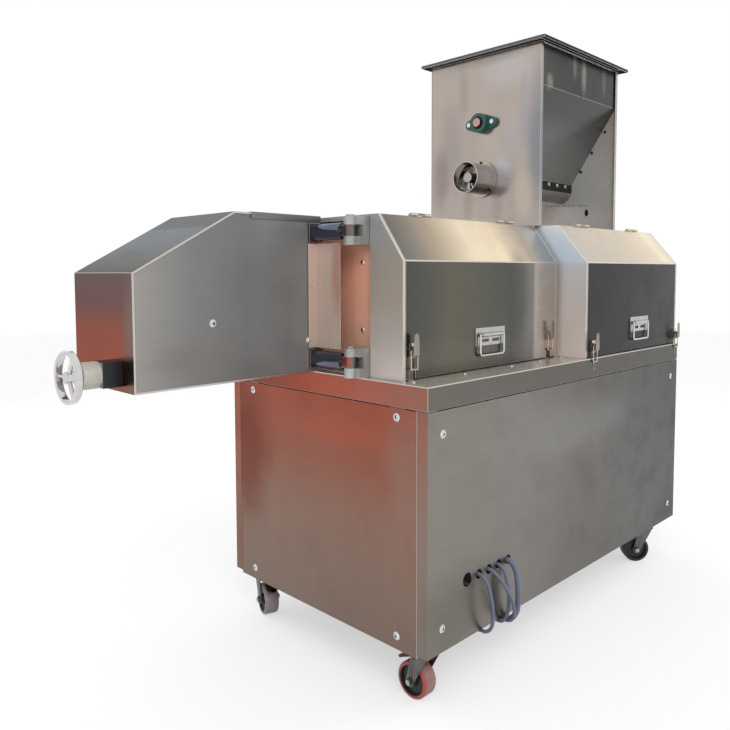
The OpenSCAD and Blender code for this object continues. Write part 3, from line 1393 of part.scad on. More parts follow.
module pedal() {
  z = ground_clearance - plate_t - race_h - pedal_drop;
  translate([pedal_back, 0, z]) union() {
    rod_y(-wheel_w / 2 - fork_gap - fork_t, wheel_w + 2 * (fork_gap + fork_t), pedal_pin_r, 0, 0);
    rod_y(-pedal_shoe_r, 2 * pedal_shoe_r, pedal_pin_r + pedal_t, 0, 0);
    rotate([0, pedal_tilt, 0]) translate([0, 0, -pedal_t / 2]) {
      translate([pedal_pin_r, -pedal_w / 2, 0]) cube([pedal_l - pedal_pin_r, pedal_w, pedal_t]);
      translate([pedal_l, 0, 0]) cylinder(h = pedal_t, r = pedal_shoe_r);
    }
  }
}
module numbered_fork(i) { color("gray") at_caster(i) fork(); }
module numbered_wheel(i) { color("firebrick") at_caster(i) wheel(); }
module numbered_pedal(i) { color("darkslategray") at_caster(i) pedal(); }

// Bar behind the panel with a bored sleeve for each cable
module cable_clamp() {
  start = first_cable_x - clamp_margin;
  end = cable_holes[3] + clamp_margin;
  color("black") machine() difference() {
    union() {
      translate([start, clamp_y, hole_z - clamp_h / 2]) cube([end - start, clamp_t, clamp_h]);
      for (x = [start, end - clamp_foot]) translate([x, sheet_t + seat, hole_z - clamp_h / 2])
        cube([clamp_foot, clamp_y, clamp_h]);
    }
    for (i = [0:3]) rod_y(clamp_y - cut, clamp_bore_l + cut, cable_rs[i] + fit, cable_holes[i], hole_z);
  }
}
// A ring of points round p, in the plane across t, turned so that its first axis lies near side
function ring(p, t, side, r, sides) = let (u = unit(cross(t, side)), v = cross(unit(t), u))
  [for (k = [0:sides - 1]) p + r * (cos(360 * k / sides) * u + sin(360 * k / sides) * v)];
function unit(a) = a / norm(a);
function heading(path, i) = path[min(i + 1, len(path) - 1)] - path[max(i - 1, 0)];
// A tube swept along a path, as one closed surface of triangles
module swept_tube(path, r, sides, side) {
  n = len(path);
  points = [for (i = [0:n - 1]) each ring(path[i], heading(path, i), side, r, sides)];
  walls = [for (i = [0:n - 2], k = [0:sides - 1])
    let (a = i * sides + k, b = i * sides + (k + 1) % sides) each [[a, a + sides, b], [b, a + sides, b + sides]]];
  caps = [for (k = [1:sides - 2]) each [[0, k, k + 1], [(n - 1) * sides, (n - 1) * sides + k + 1, (n - 1) * sides + k]]];
  polyhedron(points, concat(walls, caps));
}
// Two-layer coil: it spirals in on the floor, climbs where it turns back and spirals out on top
function climb(t) = let (s = max(0, min(1, 2 * (t - coil_turns / 2 + 0.25)))) s * s * (3 - 2 * s);
function coil_path(i) = let (r = cable_rs[i], big = coil_rs[i], pitch = 2 * r + coil_gap, hand = coil_hands[i],
  first = coil_starts[i] + [0, 2 * r, 0], centre = first - [hand * big, 0, 0])
  concat([coil_starts[i]],
    [for (k = [0:coil_turns * coil_rings]) let (t = k / coil_rings, a = hand * 360 * t,
      q = big - pitch * min(t, coil_turns - t))
      centre + [hand * q * cos(a), hand * q * sin(a), climb(t) * (2 * r + coil_gap)]],
    [first + [0, 2 * r, 2 * r + coil_gap]]);
function least_gap(path, r, skip) = min([for (i = [0:len(path) - 1], j = [i + skip:1:len(path) - 1])
  norm(path[i] - path[j])]) - 2 * r;
for (i = [0:3]) echo(str("coil ", i + 1, " least gap"), least_gap(coil_path(i), cable_rs[i], coil_rings / 2));
module cable_leads() {
  color("slategray") machine() for (i = [0:3]) swept_tube(cable_routes[i], cable_rs[i], 8, [1, 0, 0]);
}
module cable_coils() {
  color("slategray") machine() for (i = [0:3]) swept_tube(coil_path(i), cable_rs[i], 6, [0, 0, 1]);
}

module latch_lever_1() { numbered_lever(0); }
module latch_lever_2() { numbered_lever(1); }
module latch_lever_3() { numbered_lever(2); }
module latch_lever_4() { numbered_lever(3); }
module latch_loop_1() { numbered_loop(0); }
module latch_loop_2() { numbered_loop(1); }
module latch_loop_3() { numbered_loop(2); }
module latch_loop_4() { numbered_loop(3); }
module caster_fork_1() { numbered_fork(0); }
module caster_fork_2() { numbered_fork(1); }
module caster_fork_3() { numbered_fork(2); }
module caster_fork_4() { numbered_fork(3); }
module caster_wheel_1() { numbered_wheel(0); }
module caster_wheel_2() { numbered_wheel(1); }
module caster_wheel_3() { numbered_wheel(2); }
module caster_wheel_4() { numbered_wheel(3); }
module brake_pedal_1() { numbered_pedal(0); }
module brake_pedal_3() { numbered_pedal(2); }

base_frame();
side_panel_front();
side_panel_back();
end_panels();
deck();
panel_bolts();
barrel_cover();
drive_cover();
barrel_door();
drive_door();
barrel_door_fittings();
drive_door_fittings();
barrel_handle();
drive_handle();
latch_lever_1();
latch_lever_2();
latch_lever_3();
latch_lever_4();
latch_loop_1();
latch_loop_2();
latch_loop_3();
latch_loop_4();
hopper_end_plates();
hopper_walls();
hopper_rim();
feed_tube();
flange_bearings();
feed_motor();
feed_chain();
feed_auger();
agitator();
barrel();
bulkhead();
hinge_blocks();
extruder_screw();
bearing_housing();
driven_pulley();
motor_pulley();
main_motor();
drive_belts();
cutter_box();
cutter_side_panel();
knife_guard();
adjuster();
handwheel();
cutter_carriage();
knife_rotor();
caster_fork_1();
caster_fork_2();
caster_fork_3();
caster_fork_4();
caster_wheel_1();
caster_wheel_2();
caster_wheel_3();
caster_wheel_4();
brake_pedal_1();
brake_pedal_3();
cable_clamp();
cable_leads();
cable_coils();
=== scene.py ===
"""Dresses the corn extruder: folded stainless sheet, cast and turned fittings, casters and cables."""
import json
import math

import bmesh
import bpy
from mathutils import Matrix, Vector


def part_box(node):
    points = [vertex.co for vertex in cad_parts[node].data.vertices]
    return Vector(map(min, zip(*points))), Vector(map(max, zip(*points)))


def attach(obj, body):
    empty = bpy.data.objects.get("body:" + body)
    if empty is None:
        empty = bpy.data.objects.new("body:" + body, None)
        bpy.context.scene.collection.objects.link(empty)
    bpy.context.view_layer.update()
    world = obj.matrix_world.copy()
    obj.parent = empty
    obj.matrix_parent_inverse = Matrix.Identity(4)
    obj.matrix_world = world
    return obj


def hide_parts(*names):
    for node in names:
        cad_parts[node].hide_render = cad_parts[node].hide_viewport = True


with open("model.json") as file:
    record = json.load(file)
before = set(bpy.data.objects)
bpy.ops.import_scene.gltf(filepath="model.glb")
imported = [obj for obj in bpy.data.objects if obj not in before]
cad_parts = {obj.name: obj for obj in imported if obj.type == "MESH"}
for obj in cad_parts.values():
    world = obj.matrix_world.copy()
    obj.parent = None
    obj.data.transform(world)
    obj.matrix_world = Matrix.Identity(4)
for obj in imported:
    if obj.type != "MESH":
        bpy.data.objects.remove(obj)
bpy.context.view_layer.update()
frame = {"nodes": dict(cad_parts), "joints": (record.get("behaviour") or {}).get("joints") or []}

# Places are given in millimetres from the cabinet's front corner at the die end, and from the floor.
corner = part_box("side_panel_front")[0]
START = {"x": corner.x, "y": corner.y, "z": 0.0}
MM = 0.001


def at(x, y, z):
    """A place on the machine, in the part's frame."""
    return Vector((START["x"] + x * MM, START["y"] + y * MM, z * MM))


# Lines and levels of the machine that the added pieces follow, in millimetres
CABINET_L = 1530
CABINET_W = 835
MID_Y = CABINET_W / 2
DECK_Z = 850
ROOF_Z = 1291
BARREL_DOOR_Y = 106
DRIVE_DOOR_Y = 10
BARREL_HANDLE_X = 408
DRIVE_HANDLE_X = 1199
HANDLE_H = 101
HOPPER_X = 790
HOPPER_END = HOPPER_X + 550
FEED_Z = ROOF_Z + 176
AGITATOR_Z = FEED_Z + 198
BOX_NEAR_Y = MID_Y - 12
ARM_X = -16
ARM_Y = 260
ARM_LEVELS = [DECK_Z + 42, DECK_Z + 396]


# Camera, as found from the corners of the cabinet, covers and hopper
CAMERA_PLACE = (-1.76025, -1.55075, 1.135)
CAMERA_FORWARD = (0.7091, 0.7021, -0.0649)
CAMERA_RIGHT = (0.7035, -0.7107, -0.0023)
LENS = 35.25
SENSOR = 36
SHIFT = (-0.0121, -0.0635)


def make_camera():
    right = Vector(CAMERA_RIGHT)
    forward = Vector(CAMERA_FORWARD).normalized()
    right = (right - right.dot(forward) * forward).normalized()
    up = right.cross(forward)
    camera = bpy.data.objects.new("camera", bpy.data.cameras.new("camera"))
    camera.matrix_world = Matrix((right, up, -forward)).transposed().to_4x4()
    camera.location = CAMERA_PLACE
    camera.data.lens = LENS
    camera.data.sensor_width = SENSOR
    camera.data.shift_x, camera.data.shift_y = SHIFT
    bpy.context.scene.collection.objects.link(camera)
    bpy.context.scene.camera = camera


make_camera()
bpy.context.scene.view_settings.view_transform = "Standard"


# Shader helpers
def tone(red, green, blue):
    """Linear colour of a tone given in display steps from 0 to 255."""
    return [((v / 255 + 0.055) / 1.055) ** 2.4 for v in (red, green, blue)] + [1]


def add(tree, kind, inputs=None, **settings):
    """Adds a node, with values or links on its sockets."""
    made = tree.nodes.new(kind)
    for name, value in settings.items():
        setattr(made, name, value)
    for name, value in (inputs or {}).items():
        if isinstance(value, bpy.types.NodeSocket):
            tree.links.new(value, made.inputs[name])
        else:
            made.inputs[name].default_value = value
    return made


def maths(tree, operation, a, b=0.0):
    return add(tree, "ShaderNodeMath", {0: a, 1: b}, operation=operation).outputs[0]


def vectors(tree, operation, a, b):
    made = add(tree, "ShaderNodeVectorMath", {0: a, 1: b}, operation=operation)
    return made.outputs["Value" if operation == "LENGTH" else "Vector"]


def ranged(tree, value, low=0.0, high=1.0, to_low=0.0, to_high=1.0):
    """A smooth change from one value to another."""
    inputs = {"Value": value, "From Min": low, "From Max": high, "To Min": to_low, "To Max": to_high}
    return add(tree, "ShaderNodeMapRange", inputs, interpolation_type="SMOOTHSTEP").outputs["Result"]


def straight(tree, value, low=0.0, high=1.0, to_low=0.0, to_high=1.0):
    """An even change from one value to another."""
    inputs = {"Value": value, "From Min": low, "From Max": high, "To Min": to_low, "To Max": to_high}
    return add(tree, "ShaderNodeMapRange", inputs).outputs["Result"]


def noise(tree, vector, scale, detail=2.0, rough=0.5):
    inputs = {"Vector": vector, "Scale": scale, "Detail": detail, "Roughness": rough}
    return add(tree, "ShaderNodeTexNoise", inputs).outputs["Fac"]


def around_one(tree, value, middle, gain, amount):
    """A shade that swings about 1 as the value swings about its middle."""
    swing = maths(tree, "SUBTRACT", value, middle)
    if gain != 1:
        swing = maths(tree, "MULTIPLY", swing, gain)
    return maths(tree, "ADD", maths(tree, "MULTIPLY", swing, amount), 1.0)


def place_of(tree):
    """Coordinates on the machine at rest, which stay with a piece when it moves."""
    return add(tree, "ShaderNodeTexCoord").outputs["Object"]


def new_group(name, inputs, outputs):
    """An empty node group, with its input and output sockets."""
    tree = bpy.data.node_groups.new(name, "ShaderNodeTree")
    for label, value in inputs.items():
        kind = "NodeSocketVector" if isinstance(value, tuple) else "NodeSocketFloat"
        tree.interface.new_socket(label, in_out="INPUT", socket_type=kind).default_value = value
    for label in outputs:
        tree.interface.new_socket(label, in_out="OUTPUT", socket_type="NodeSocketFloat")
    return tree, tree.nodes.new("NodeGroupInput").outputs, tree.nodes.new("NodeGroupOutput").inputs


# How far a face may lean and still count as upright, as facing a side, or as flat
UPRIGHT_LIMIT = 0.25
FACING_LIMIT = 0.5
FLAT_LIMIT = 0.95


def sheet_faces():
    """Masks for the way that a face looks: to the front, to the die end, up, down, or on a slope. They pick each
    facing's painted reflection and shade tone, and its mirror share.
    """
    tree, _, out = new_group("sheet_faces", {}, ["Front", "End", "Up", "Down", "Slope"])
    normal = add(tree, "ShaderNodeTexCoord").outputs["Normal"]
    parts = add(tree, "ShaderNodeSeparateXYZ", {0: normal}).outputs
    lean = maths(tree, "ABSOLUTE", parts[2])
    upright = maths(tree, "LESS_THAN", lean, UPRIGHT_LIMIT)
    to_front = maths(tree, "LESS_THAN", parts[1], -FACING_LIMIT)
    to_end = maths(tree, "LESS_THAN", parts[0], -FACING_LIMIT)
    leaning = maths(tree, "GREATER_THAN", lean, UPRIGHT_LIMIT)
    not_flat = maths(tree, "LESS_THAN", lean, FLAT_LIMIT)
    tree.links.new(maths(tree, "MULTIPLY", upright, to_front), out["Front"])
    tree.links.new(maths(tree, "MULTIPLY", upright, to_end), out["End"])
    tree.links.new(maths(tree, "GREATER_THAN", parts[2], FLAT_LIMIT), out["Up"])
    tree.links.new(maths(tree, "LESS_THAN", parts[2], -FLAT_LIMIT), out["Down"])
    tree.links.new(maths(tree, "MULTIPLY", leaning, not_flat), out["Slope"])
    return tree


def brushed_grain():
    """Fine straight lines left by the brushing belt."""
    tree, given, out = new_group("brushed_grain", {"Stretch": (6.0, 900.0, 900.0)}, ["Shade", "Height"])
    stretched = vectors(tree, "MULTIPLY", place_of(tree), given["Stretch"])
    lines = noise(tree, stretched, scale=1.0, detail=3.0, rough=0.6)
    tree.links.new(ranged(tree, lines, low=0.25, high=0.75, to_low=0.94, to_high=1.06), out["Shade"])
    tree.links.new(lines, out["Height"])
    return tree


def tone_and_reflection_waves():
    """Slow light and dark waves in the colour: uneven tone, and on the metals a painted reflection of thin sheet
    that is never quite flat.
    """
    tree, given, out = new_group("tone_and_reflection_waves", {"Scale": 4.0, "Amount": 0.06, "Seed": 0.0}, ["Shade", "Height"])
    shift = add(tree, "ShaderNodeCombineXYZ", {0: given["Seed"], 1: given["Seed"], 2: given["Seed"]}).outputs[0]
    slow = noise(tree, vectors(tree, "ADD", place_of(tree), shift), given["Scale"], detail=3.0, rough=0.55)
    tree.links.new(around_one(tree, slow, middle=0.5, gain=2.6, amount=given["Amount"]), out["Shade"])
    tree.links.new(slow, out["Height"])
    return tree


def finger_marks():
    """Roughness that hand marks and wiped dust leave on metal and paint."""
    tree, given, out = new_group("finger_marks", {"Base": 0.3, "Amount": 0.12}, ["Rough"])
    place = place_of(tree)
    smears = ranged(tree, noise(tree, place, scale=9.0, detail=5.0, rough=0.62), low=0.42, high=0.7)
    specks = ranged(tree, noise(tree, place, scale=160.0, detail=2.0), low=0.6, high=0.72, to_high=0.4)
    marks = maths(tree, "MULTIPLY", maths(tree, "ADD", smears, specks), given["Amount"])
    tree.links.new(maths(tree, "ADD", marks, given["Base"]), out["Rough"])
    return tree


def cast_skin():
    """Pitted skin of castings, moulded plastic and rubber."""
    tree, given, out = new_group("cast_skin", {"Scale": 500.0, "Amount": 0.1}, ["Shade", "Height"])
    place = place_of(tree)
    pits = noise(tree, place, given["Scale"], detail=4.0, rough=0.65)
    grime = ranged(tree, noise(tree, place, scale=22.0, detail=4.0, rough=0.6), low=0.35, high=0.7)
    both = maths(tree, "ADD", pits, maths(tree, "MULTIPLY", grime, 0.6))
    tree.links.new(around_one(tree, both, middle=0.85, gain=1, amount=given["Amount"]), out["Shade"])
    tree.links.new(pits, out["Height"])
    return tree


FACES = sheet_faces()
GRAIN = brushed_grain()
TONE_AND_REFLECTION_WAVES = tone_and_reflection_waves()
MARKS = finger_marks()
SKIN = cast_skin()


def use(tree, group, **values):
    """Places a node group, with values on its inputs."""
    made = tree.nodes.new("ShaderNodeGroup")
    made.node_tree = group
    for name, value in values.items():
        made.inputs[name].default_value = value
    return made.outputs


def mixed(tree, mask, under, over):
    """Colour under, with over where the mask is 1. Each is a tone or a socket."""
    made = tree.nodes.new("ShaderNodeMix")
    made.data_type = "RGBA"
    tree.links.new(mask, made.inputs["Factor"])
    for socket, value in ((made.inputs[6], under), (made.inputs[7], over)):
        if isinstance(value, bpy.types.NodeSocket):
            tree.links.new(value, socket)
        else:
            socket.default_value = tone(*value)
    return made.outputs[2]


def look_colour(tree, axes, look):
    """A look is one tone, or an axis and the tones at places along it."""
    if not isinstance(look[0], str):
        return look
    axis, stops = look
    low, high = stops[0][0], stops[-1][0]
    share = straight(tree, axes["xyz".index(axis)], START[axis] + low * MM, START[axis] + high * MM)
    made = add(tree, "ShaderNodeValToRGB", {"Fac": share})
    ramp = made.color_ramp
    while len(ramp.elements) < len(stops):
        ramp.elements.new(0.5)
    for element, (place, shade) in zip(ramp.elements, stops):
        element.position = (place - low) / (high - low)
        element.color = tone(*shade)
    return made.outputs["Color"]


# A patch, mostly painted reflection and shade, keeps its full strength up to its core and is gone at its rim;
# both as shares of its reach
PATCH_CORE = 0.45
PATCH_RIM = 1.25
PATCH_NOISE = 7.0
PATCH_NOISE_SHARE = 0.5
# Share of a painted edge line's half width that keeps its full tone
PAINTED_LINE_CORE = 0.6
# Length over which a sheet's mirror share changes along the machine, in millimetres
DULL_RUN = 10


def painted_patches(tree, place, colour, patches):
    """Soft patches, most of them painted reflection and shade, each with its centre and reach in millimetres, its
    tone and its strength.
    """
    for centre, reach, shade, strength in patches:
        off = vectors(tree, "SUBTRACT", place, tuple(at(*centre)))
        off = vectors(tree, "DIVIDE", off, tuple(v * MM for v in reach))
        far = vectors(tree, "LENGTH", off, (0, 0, 0))
        far = maths(tree, "ADD", far, maths(tree, "MULTIPLY", noise(tree, place, PATCH_NOISE), PATCH_NOISE_SHARE))
        colour = mixed(tree, ranged(tree, far, PATCH_CORE, PATCH_RIM, strength, 0.0), colour, shade)
    return colour


def painted_edge_lines(tree, axes, colour, lines):
    """Edge lines painted along folds, seams and edges, most of them bright as painted highlights, each with its
    axis, place and half width in millimetres, and its tone.
    """
    for axis, centre, half, shade in lines:
        off = maths(tree, "SUBTRACT", axes["xyz".index(axis)], START[axis] + centre * MM)
        mask = ranged(tree, maths(tree, "ABSOLUTE", off), half * PAINTED_LINE_CORE * MM, half * MM, 1.0, 0.0)
        colour = mixed(tree, mask, colour, shade)
    return colour


def surface(tree, name, grain, waves, wave_scale, skin, skin_scale):
    """The shade of the waves (uneven tone and painted reflection), grain and skin together, and the heights of
    the grain and skin.
    """
    shade = use(tree, TONE_AND_REFLECTION_WAVES, Scale=wave_scale, Amount=waves, Seed=len(name) * 1.7)["Shade"]
    layers = []
    if grain:
        layers.append(use(tree, GRAIN, Stretch=grain))
    if skin:
        layers.append(use(tree, SKIN, Scale=skin_scale, Amount=skin))
    for layer in layers:
        shade = maths(tree, "MULTIPLY", shade, layer["Shade"])
    return shade, [layer["Height"] for layer in layers]


def finish(name, look, metal=1.0, rough=0.3, grain=None, waves=0.05, wave_scale=4.0, skin=0.0, skin_scale=500.0,
           marks=0.12, bump=0.04, faces=None, lines=(), patches=(), dull=None, glance=1.0):
    """A material: a look, other looks on the faces of a folded sheet, soft patches and bright edge lines. On the
    sheets the ramps, the facings' looks and the patches are painted reflection and shade, and the edge lines
    painted highlights.
    dull gives the mirror share of faces, or of what lies past a place along the machine.
    glance below 1 darkens what is seen along the surface. bump is a height in millimetres."""
    material = bpy.data.materials.new(name)
    material.use_nodes = True
    tree = material.node_tree
    shader = tree.nodes["Principled BSDF"]
    place = place_of(tree)
    axes = add(tree, "ShaderNodeSeparateXYZ", {0: place}).outputs
    masks = use(tree, FACES) if faces or dull else None
    colour = look_colour(tree, axes, look)
    for face, other in (faces or {}).items():
        colour = mixed(tree, masks[face], colour, look_colour(tree, axes, other))
    colour = painted_edge_lines(tree, axes, painted_patches(tree, place, colour, patches), lines)
    if not isinstance(colour, bpy.types.NodeSocket):
        colour = tuple(tone(*colour)[:3])
    shade, heights = surface(tree, name, grain, waves, wave_scale, skin, skin_scale)
    scaled = add(tree, "ShaderNodeVectorMath", {0: colour, "Scale": shade}, operation="SCALE").outputs["Vector"]
    tree.links.new(scaled, shader.inputs["Base Color"])
    shader.inputs["Metallic"].default_value = metal
    shader.inputs["Specular Tint"].default_value = (glance, glance, glance, 1)
    for where, share in (dull or {}).items():
        if isinstance(where, str):
            mask = masks[where]
        else:
            mask = ranged(tree, axes[0], START["x"] + (where - DULL_RUN) * MM, START["x"] + where * MM)
        tree.links.new(straight(tree, mask, to_low=metal, to_high=share), shader.inputs["Metallic"])
    tree.links.new(use(tree, MARKS, Base=rough, Amount=marks)["Rough"], shader.inputs["Roughness"])
    if heights:
        height = heights[0] if len(heights) == 1 else maths(tree, "ADD", *heights)
        raised = add(tree, "ShaderNodeBump", {"Strength": 1.0, "Distance": bump * MM, "Height": height})
        tree.links.new(raised.outputs["Normal"], shader.inputs["Normal"])
    return material


# Grain runs along the sheets, and up on the end faces
ALONG = (5.0, 700.0, 700.0)
UPRIGHT = (700.0, 700.0, 5.0)

# The tones along the panel, the reddish end return and the patches are painted reflection and shade, and the line
# at the fold a painted highlight
front_steel = finish(
    "brushed front panel",
    ("x", [(60, (134, 130, 122)), (400, (129, 125, 120)), (800, (106, 102, 98)), (1200, (90, 89, 87)),
           (1480, (76, 74, 73))]),
    rough=0.3, grain=ALONG,
    faces={"End": ("z", [(150, (130, 123, 114)), (480, (136, 118, 108)), (790, (150, 101, 88))])},
    lines=[("z", 785.5, 2.2, (196, 190, 180))],
    patches=[((700, 0, 640), (520, 60, 130), (132, 131, 128), 0.5),
             ((120, 0, 230), (300, 60, 170), (112, 104, 98), 0.6),
             ((1000, 0, 230), (420, 60, 120), (100, 97, 92), 0.5)])
# The reddish end return is a painted reflection, and the line at the fold a painted highlight
back_steel = finish(
    "brushed back panel", (150, 147, 142), rough=0.32, grain=ALONG,
    faces={"End": ("z", [(150, (128, 100, 88)), (480, (140, 96, 80)), (790, (156, 88, 70))])},
    lines=[("z", 785.5, 2.2, (196, 190, 180))])
# The red-brown tones that grow towards the top and the patches on the die-end panel are painted reflection and
# shade, and the lines painted highlights; the last patch gives the drive-end panel plain steel
end_steel = finish(
    "brushed end panels",
    ("z", [(142, (124, 108, 98)), (300, (131, 109, 98)), (450, (136, 106, 94)), (600, (141, 92, 77)),
           (730, (150, 86, 70)), (787, (154, 82, 65))]),
    rough=0.3, grain=UPRIGHT,
    lines=[("y", 35, 2.4, (178, 160, 150)), ("z", 785.5, 2.2, (172, 150, 138))],
    patches=[((0, 60, 600), (60, 120, 330), (142, 112, 102), 0.6),
             ((0, 770, 580), (60, 170, 330), (112, 56, 44), 0.8),
             ((0, 330, 690), (60, 260, 60), (166, 88, 68), 0.5),
             ((1530, 417, 470), (60, 2000, 2000), (136, 133, 127), 1.0)])
# The tones of the top, front and end faces are painted reflection and shade, and the line at the edge a painted
# highlight
deck_steel = finish(
    "brushed deck tray", (132, 128, 122), rough=0.22, grain=ALONG, waves=0.08,
    faces={"Up": ("x", [(0, (168, 140, 130)), (200, (190, 176, 160)), (400, (190, 184, 172)),
                        (760, (150, 146, 141)), (860, (52, 51, 50)), (1500, (40, 40, 39))]),
           "Front": ("x", [(0, (112, 106, 100)), (500, (102, 99, 94)), (1500, (78, 76, 73))]),
           "End": ("y", [(10, (152, 104, 92)), (200, (160, 96, 82)), (400, (162, 84, 66)), (600, (138, 74, 62)),
                         (780, (118, 72, 62))])},
    lines=[("z", 848.6, 2.2, (206, 200, 190))], dull={"Up": 0.6})
# The tones of the end, front, slope and top faces are painted reflection and shade
barrel_cover_steel = finish(
    "brushed barrel cover", (176, 172, 166), rough=0.3, grain=ALONG, dull={"End": 0.15},
    faces={"End": ("z", [(857, (214, 202, 200)), (950, (196, 188, 178)), (1050, (180, 168, 158)),
                         (1150, (170, 160, 148)), (1240, (156, 158, 158)), (1291, (150, 153, 155))]),
           "Front": (205, 196, 186), "Slope": (216, 208, 196), "Up": (176, 170, 160)})
# The tones of each face, bluish high on the end, are painted reflection and shade
drive_cover_steel = finish(
    "brushed drive cover", (176, 172, 166), rough=0.3, grain=ALONG, dull={"End": 0.15},
    faces={"End": ("z", [(857, (230, 216, 210)), (950, (220, 208, 200)), (1050, (206, 200, 196)),
                         (1156, (200, 202, 206)), (1170, (204, 216, 234)), (1291, (222, 228, 234))]),
           "Front": (196, 190, 180), "Slope": (222, 214, 200), "Up": (190, 182, 168)})
# The tones of the front and the warm bright slope, and the patches, are painted reflection and shade, and the
# line at the fold a painted highlight
barrel_door_steel = finish(
    "brushed barrel door", (120, 116, 110), rough=0.26, grain=ALONG, waves=0.07,
    faces={"Front": ("x", [(40, (84, 85, 83)), (120, (90, 90, 86)), (220, (104, 100, 88)), (400, (92, 91, 85)),
                           (520, (86, 87, 84)), (640, (136, 131, 127)), (656, (190, 182, 176)),
                           (700, (194, 186, 178)), (780, (200, 186, 176))]),
           "Slope": ("x", [(40, (120, 117, 111)), (120, (146, 139, 126)), (200, (186, 170, 146)),
                           (350, (246, 228, 199)), (500, (244, 224, 193)), (650, (180, 168, 152)),
                           (780, (172, 176, 180))])},
    lines=[("z", 1165, 2.6, (216, 208, 196))],
    patches=[((300, 106, 900), (420, 60, 60), (112, 106, 96), 0.5),
             ((560, 106, 1060), (70, 60, 260), (76, 77, 76), 0.5)])
# The near black front and the warm bright slope are painted reflections, and the line at the fold a painted
# highlight
drive_door_steel = finish(
    "brushed drive door", (110, 108, 104), rough=0.24, grain=ALONG,
    faces={"Front": ("x", [(820, (46, 46, 45)), (1150, (46, 46, 46)), (1510, (48, 48, 48))]),
           "Slope": ("x", [(820, (196, 189, 180)), (950, (204, 191, 173)), (1100, (209, 195, 174)),
                           (1250, (217, 202, 178)), (1390, (232, 215, 186)), (1440, (246, 232, 200)),
                           (1510, (230, 220, 198))])},
    lines=[("z", 1165, 2.6, (226, 216, 198))])
# Soft patches of painted reflection and shade on the hopper's end plates: x, then y, z, their reaches, the tone
# and the strength
PLATE_REACH = 30
NEAR_PLATE_PAINTED_LIGHT = [
    (560, 1600, 80, 240, (152, 143, 137), 0.5), (610, 1480, 56, 150, (124, 112, 108), 0.5),
    (300, 1840, 170, 90, (190, 184, 184), 0.6), (502, 1790, 34, 130, (160, 136, 122), 0.45),
    (180, 1590, 75, 330, (130, 133, 140), 0.9), (245, 1690, 30, 180, (150, 152, 162), 0.4),
    (300, 1580, 36, 170, (170, 168, 176), 0.35), (340, 1482, 52, 110, (194, 200, 212), 0.55),
    (245, 1406, 56, 120, (202, 188, 170), 0.5), (481, 1384, 30, 100, (150, 134, 128), 0.45),
    (352, 1369, 34, 100, (154, 138, 132), 0.45), (460, 1306, 140, 34, (210, 196, 176), 0.6),
    (420, 1900, 320, 44, (152, 144, 138), 0.7), (400, 1620, 70, 200, (190, 174, 160), 0.5)]
FAR_PLATE_PAINTED_LIGHT = [
    (300, 1480, 200, 330, (190, 190, 188), 0.95), (420, 1320, 200, 50, (186, 180, 172), 0.8)]


def plate_painted_patches(x, rows):
    return [((x, y, z), (PLATE_REACH, wide, high), shade, strength) for y, z, wide, high, shade, strength in rows]


# The front and top faces' tones are painted reflection and shade, and a dark line is painted along y 656
hopper_plate_steel = finish(
    "thin hopper plate", (176, 166, 158), metal=0.85, dull={1300: 0.1}, rough=0.2, waves=0.07, wave_scale=5.0,
    faces={"Front": (168, 164, 160), "Up": (150, 145, 140)},
    lines=[("y", 656, 3.0, (104, 100, 102))],
    patches=plate_painted_patches(HOPPER_X, NEAR_PLATE_PAINTED_LIGHT) + plate_painted_patches(HOPPER_END, FAR_PLATE_PAINTED_LIGHT))
# The dark front band, the slope lighter below and darker above, and the streak patches are painted reflection and
# shade
hopper_wall_steel = finish(
    "thin hopper wall", (146, 147, 145), metal=0.2, rough=0.26, waves=0.08, wave_scale=5.0,
    faces={"Front": ("x", [(793, (66, 64, 61)), (840, (42, 41, 40)), (960, (22, 22, 22)), (1340, (12, 12, 12))]),
           "Slope": ("z", [(1350, (134, 132, 130)), (1520, (134, 132, 130)), (1700, (72, 71, 70)),
                           (1850, (60, 59, 58))])},
    patches=[((1088, 184, 1842), (26, 30, 90), (128, 124, 112), 0.8),
             ((1022, 184, 1868), (20, 30, 70), (104, 102, 96), 0.7),
             ((855, 184, 1782), (30, 30, 40), (132, 132, 108), 0.7),
             ((1240, 184, 1850), (24, 30, 80), (88, 87, 84), 0.7)])
# The tones of each face, near black in front and dark blue below, are painted reflection and shade
rim_steel = finish(
    "folded hopper rim", (165, 168, 174), rough=0.24, grain=ALONG, waves=0.04,
    faces={"Front": (20, 26, 33), "End": (96, 97, 100), "Up": (176, 176, 176), "Down": (56, 62, 78)})
tube_steel = finish(
    "polished feed tube",
    ("x", [(688, (196, 190, 184)), (779, (188, 184, 182)), (781.5, (176, 168, 162)), (790, (176, 168, 162))]),
    rough=0.12, waves=0.12, wave_scale=14.0)
bearing_green = finish(
    "green bearing enamel", (42, 88, 82), metal=0.0, rough=0.36, skin=0.25, skin_scale=260.0, bump=0.15)
machined = finish("turned steel", (168, 166, 162), rough=0.26, grain=UPRIGHT, waves=0.08)
chain_steel = finish("oiled chain", (70, 68, 66), rough=0.35, skin=0.3, bump=0.1)
motor_paint = finish(
    "blue grey motor enamel", (84, 104, 118), metal=0.0, rough=0.38, skin=0.12, skin_scale=300.0, bump=0.1)
barrel_steel = finish("ground barrel steel", (150, 148, 146), rough=0.34, grain=UPRIGHT, skin=0.1)
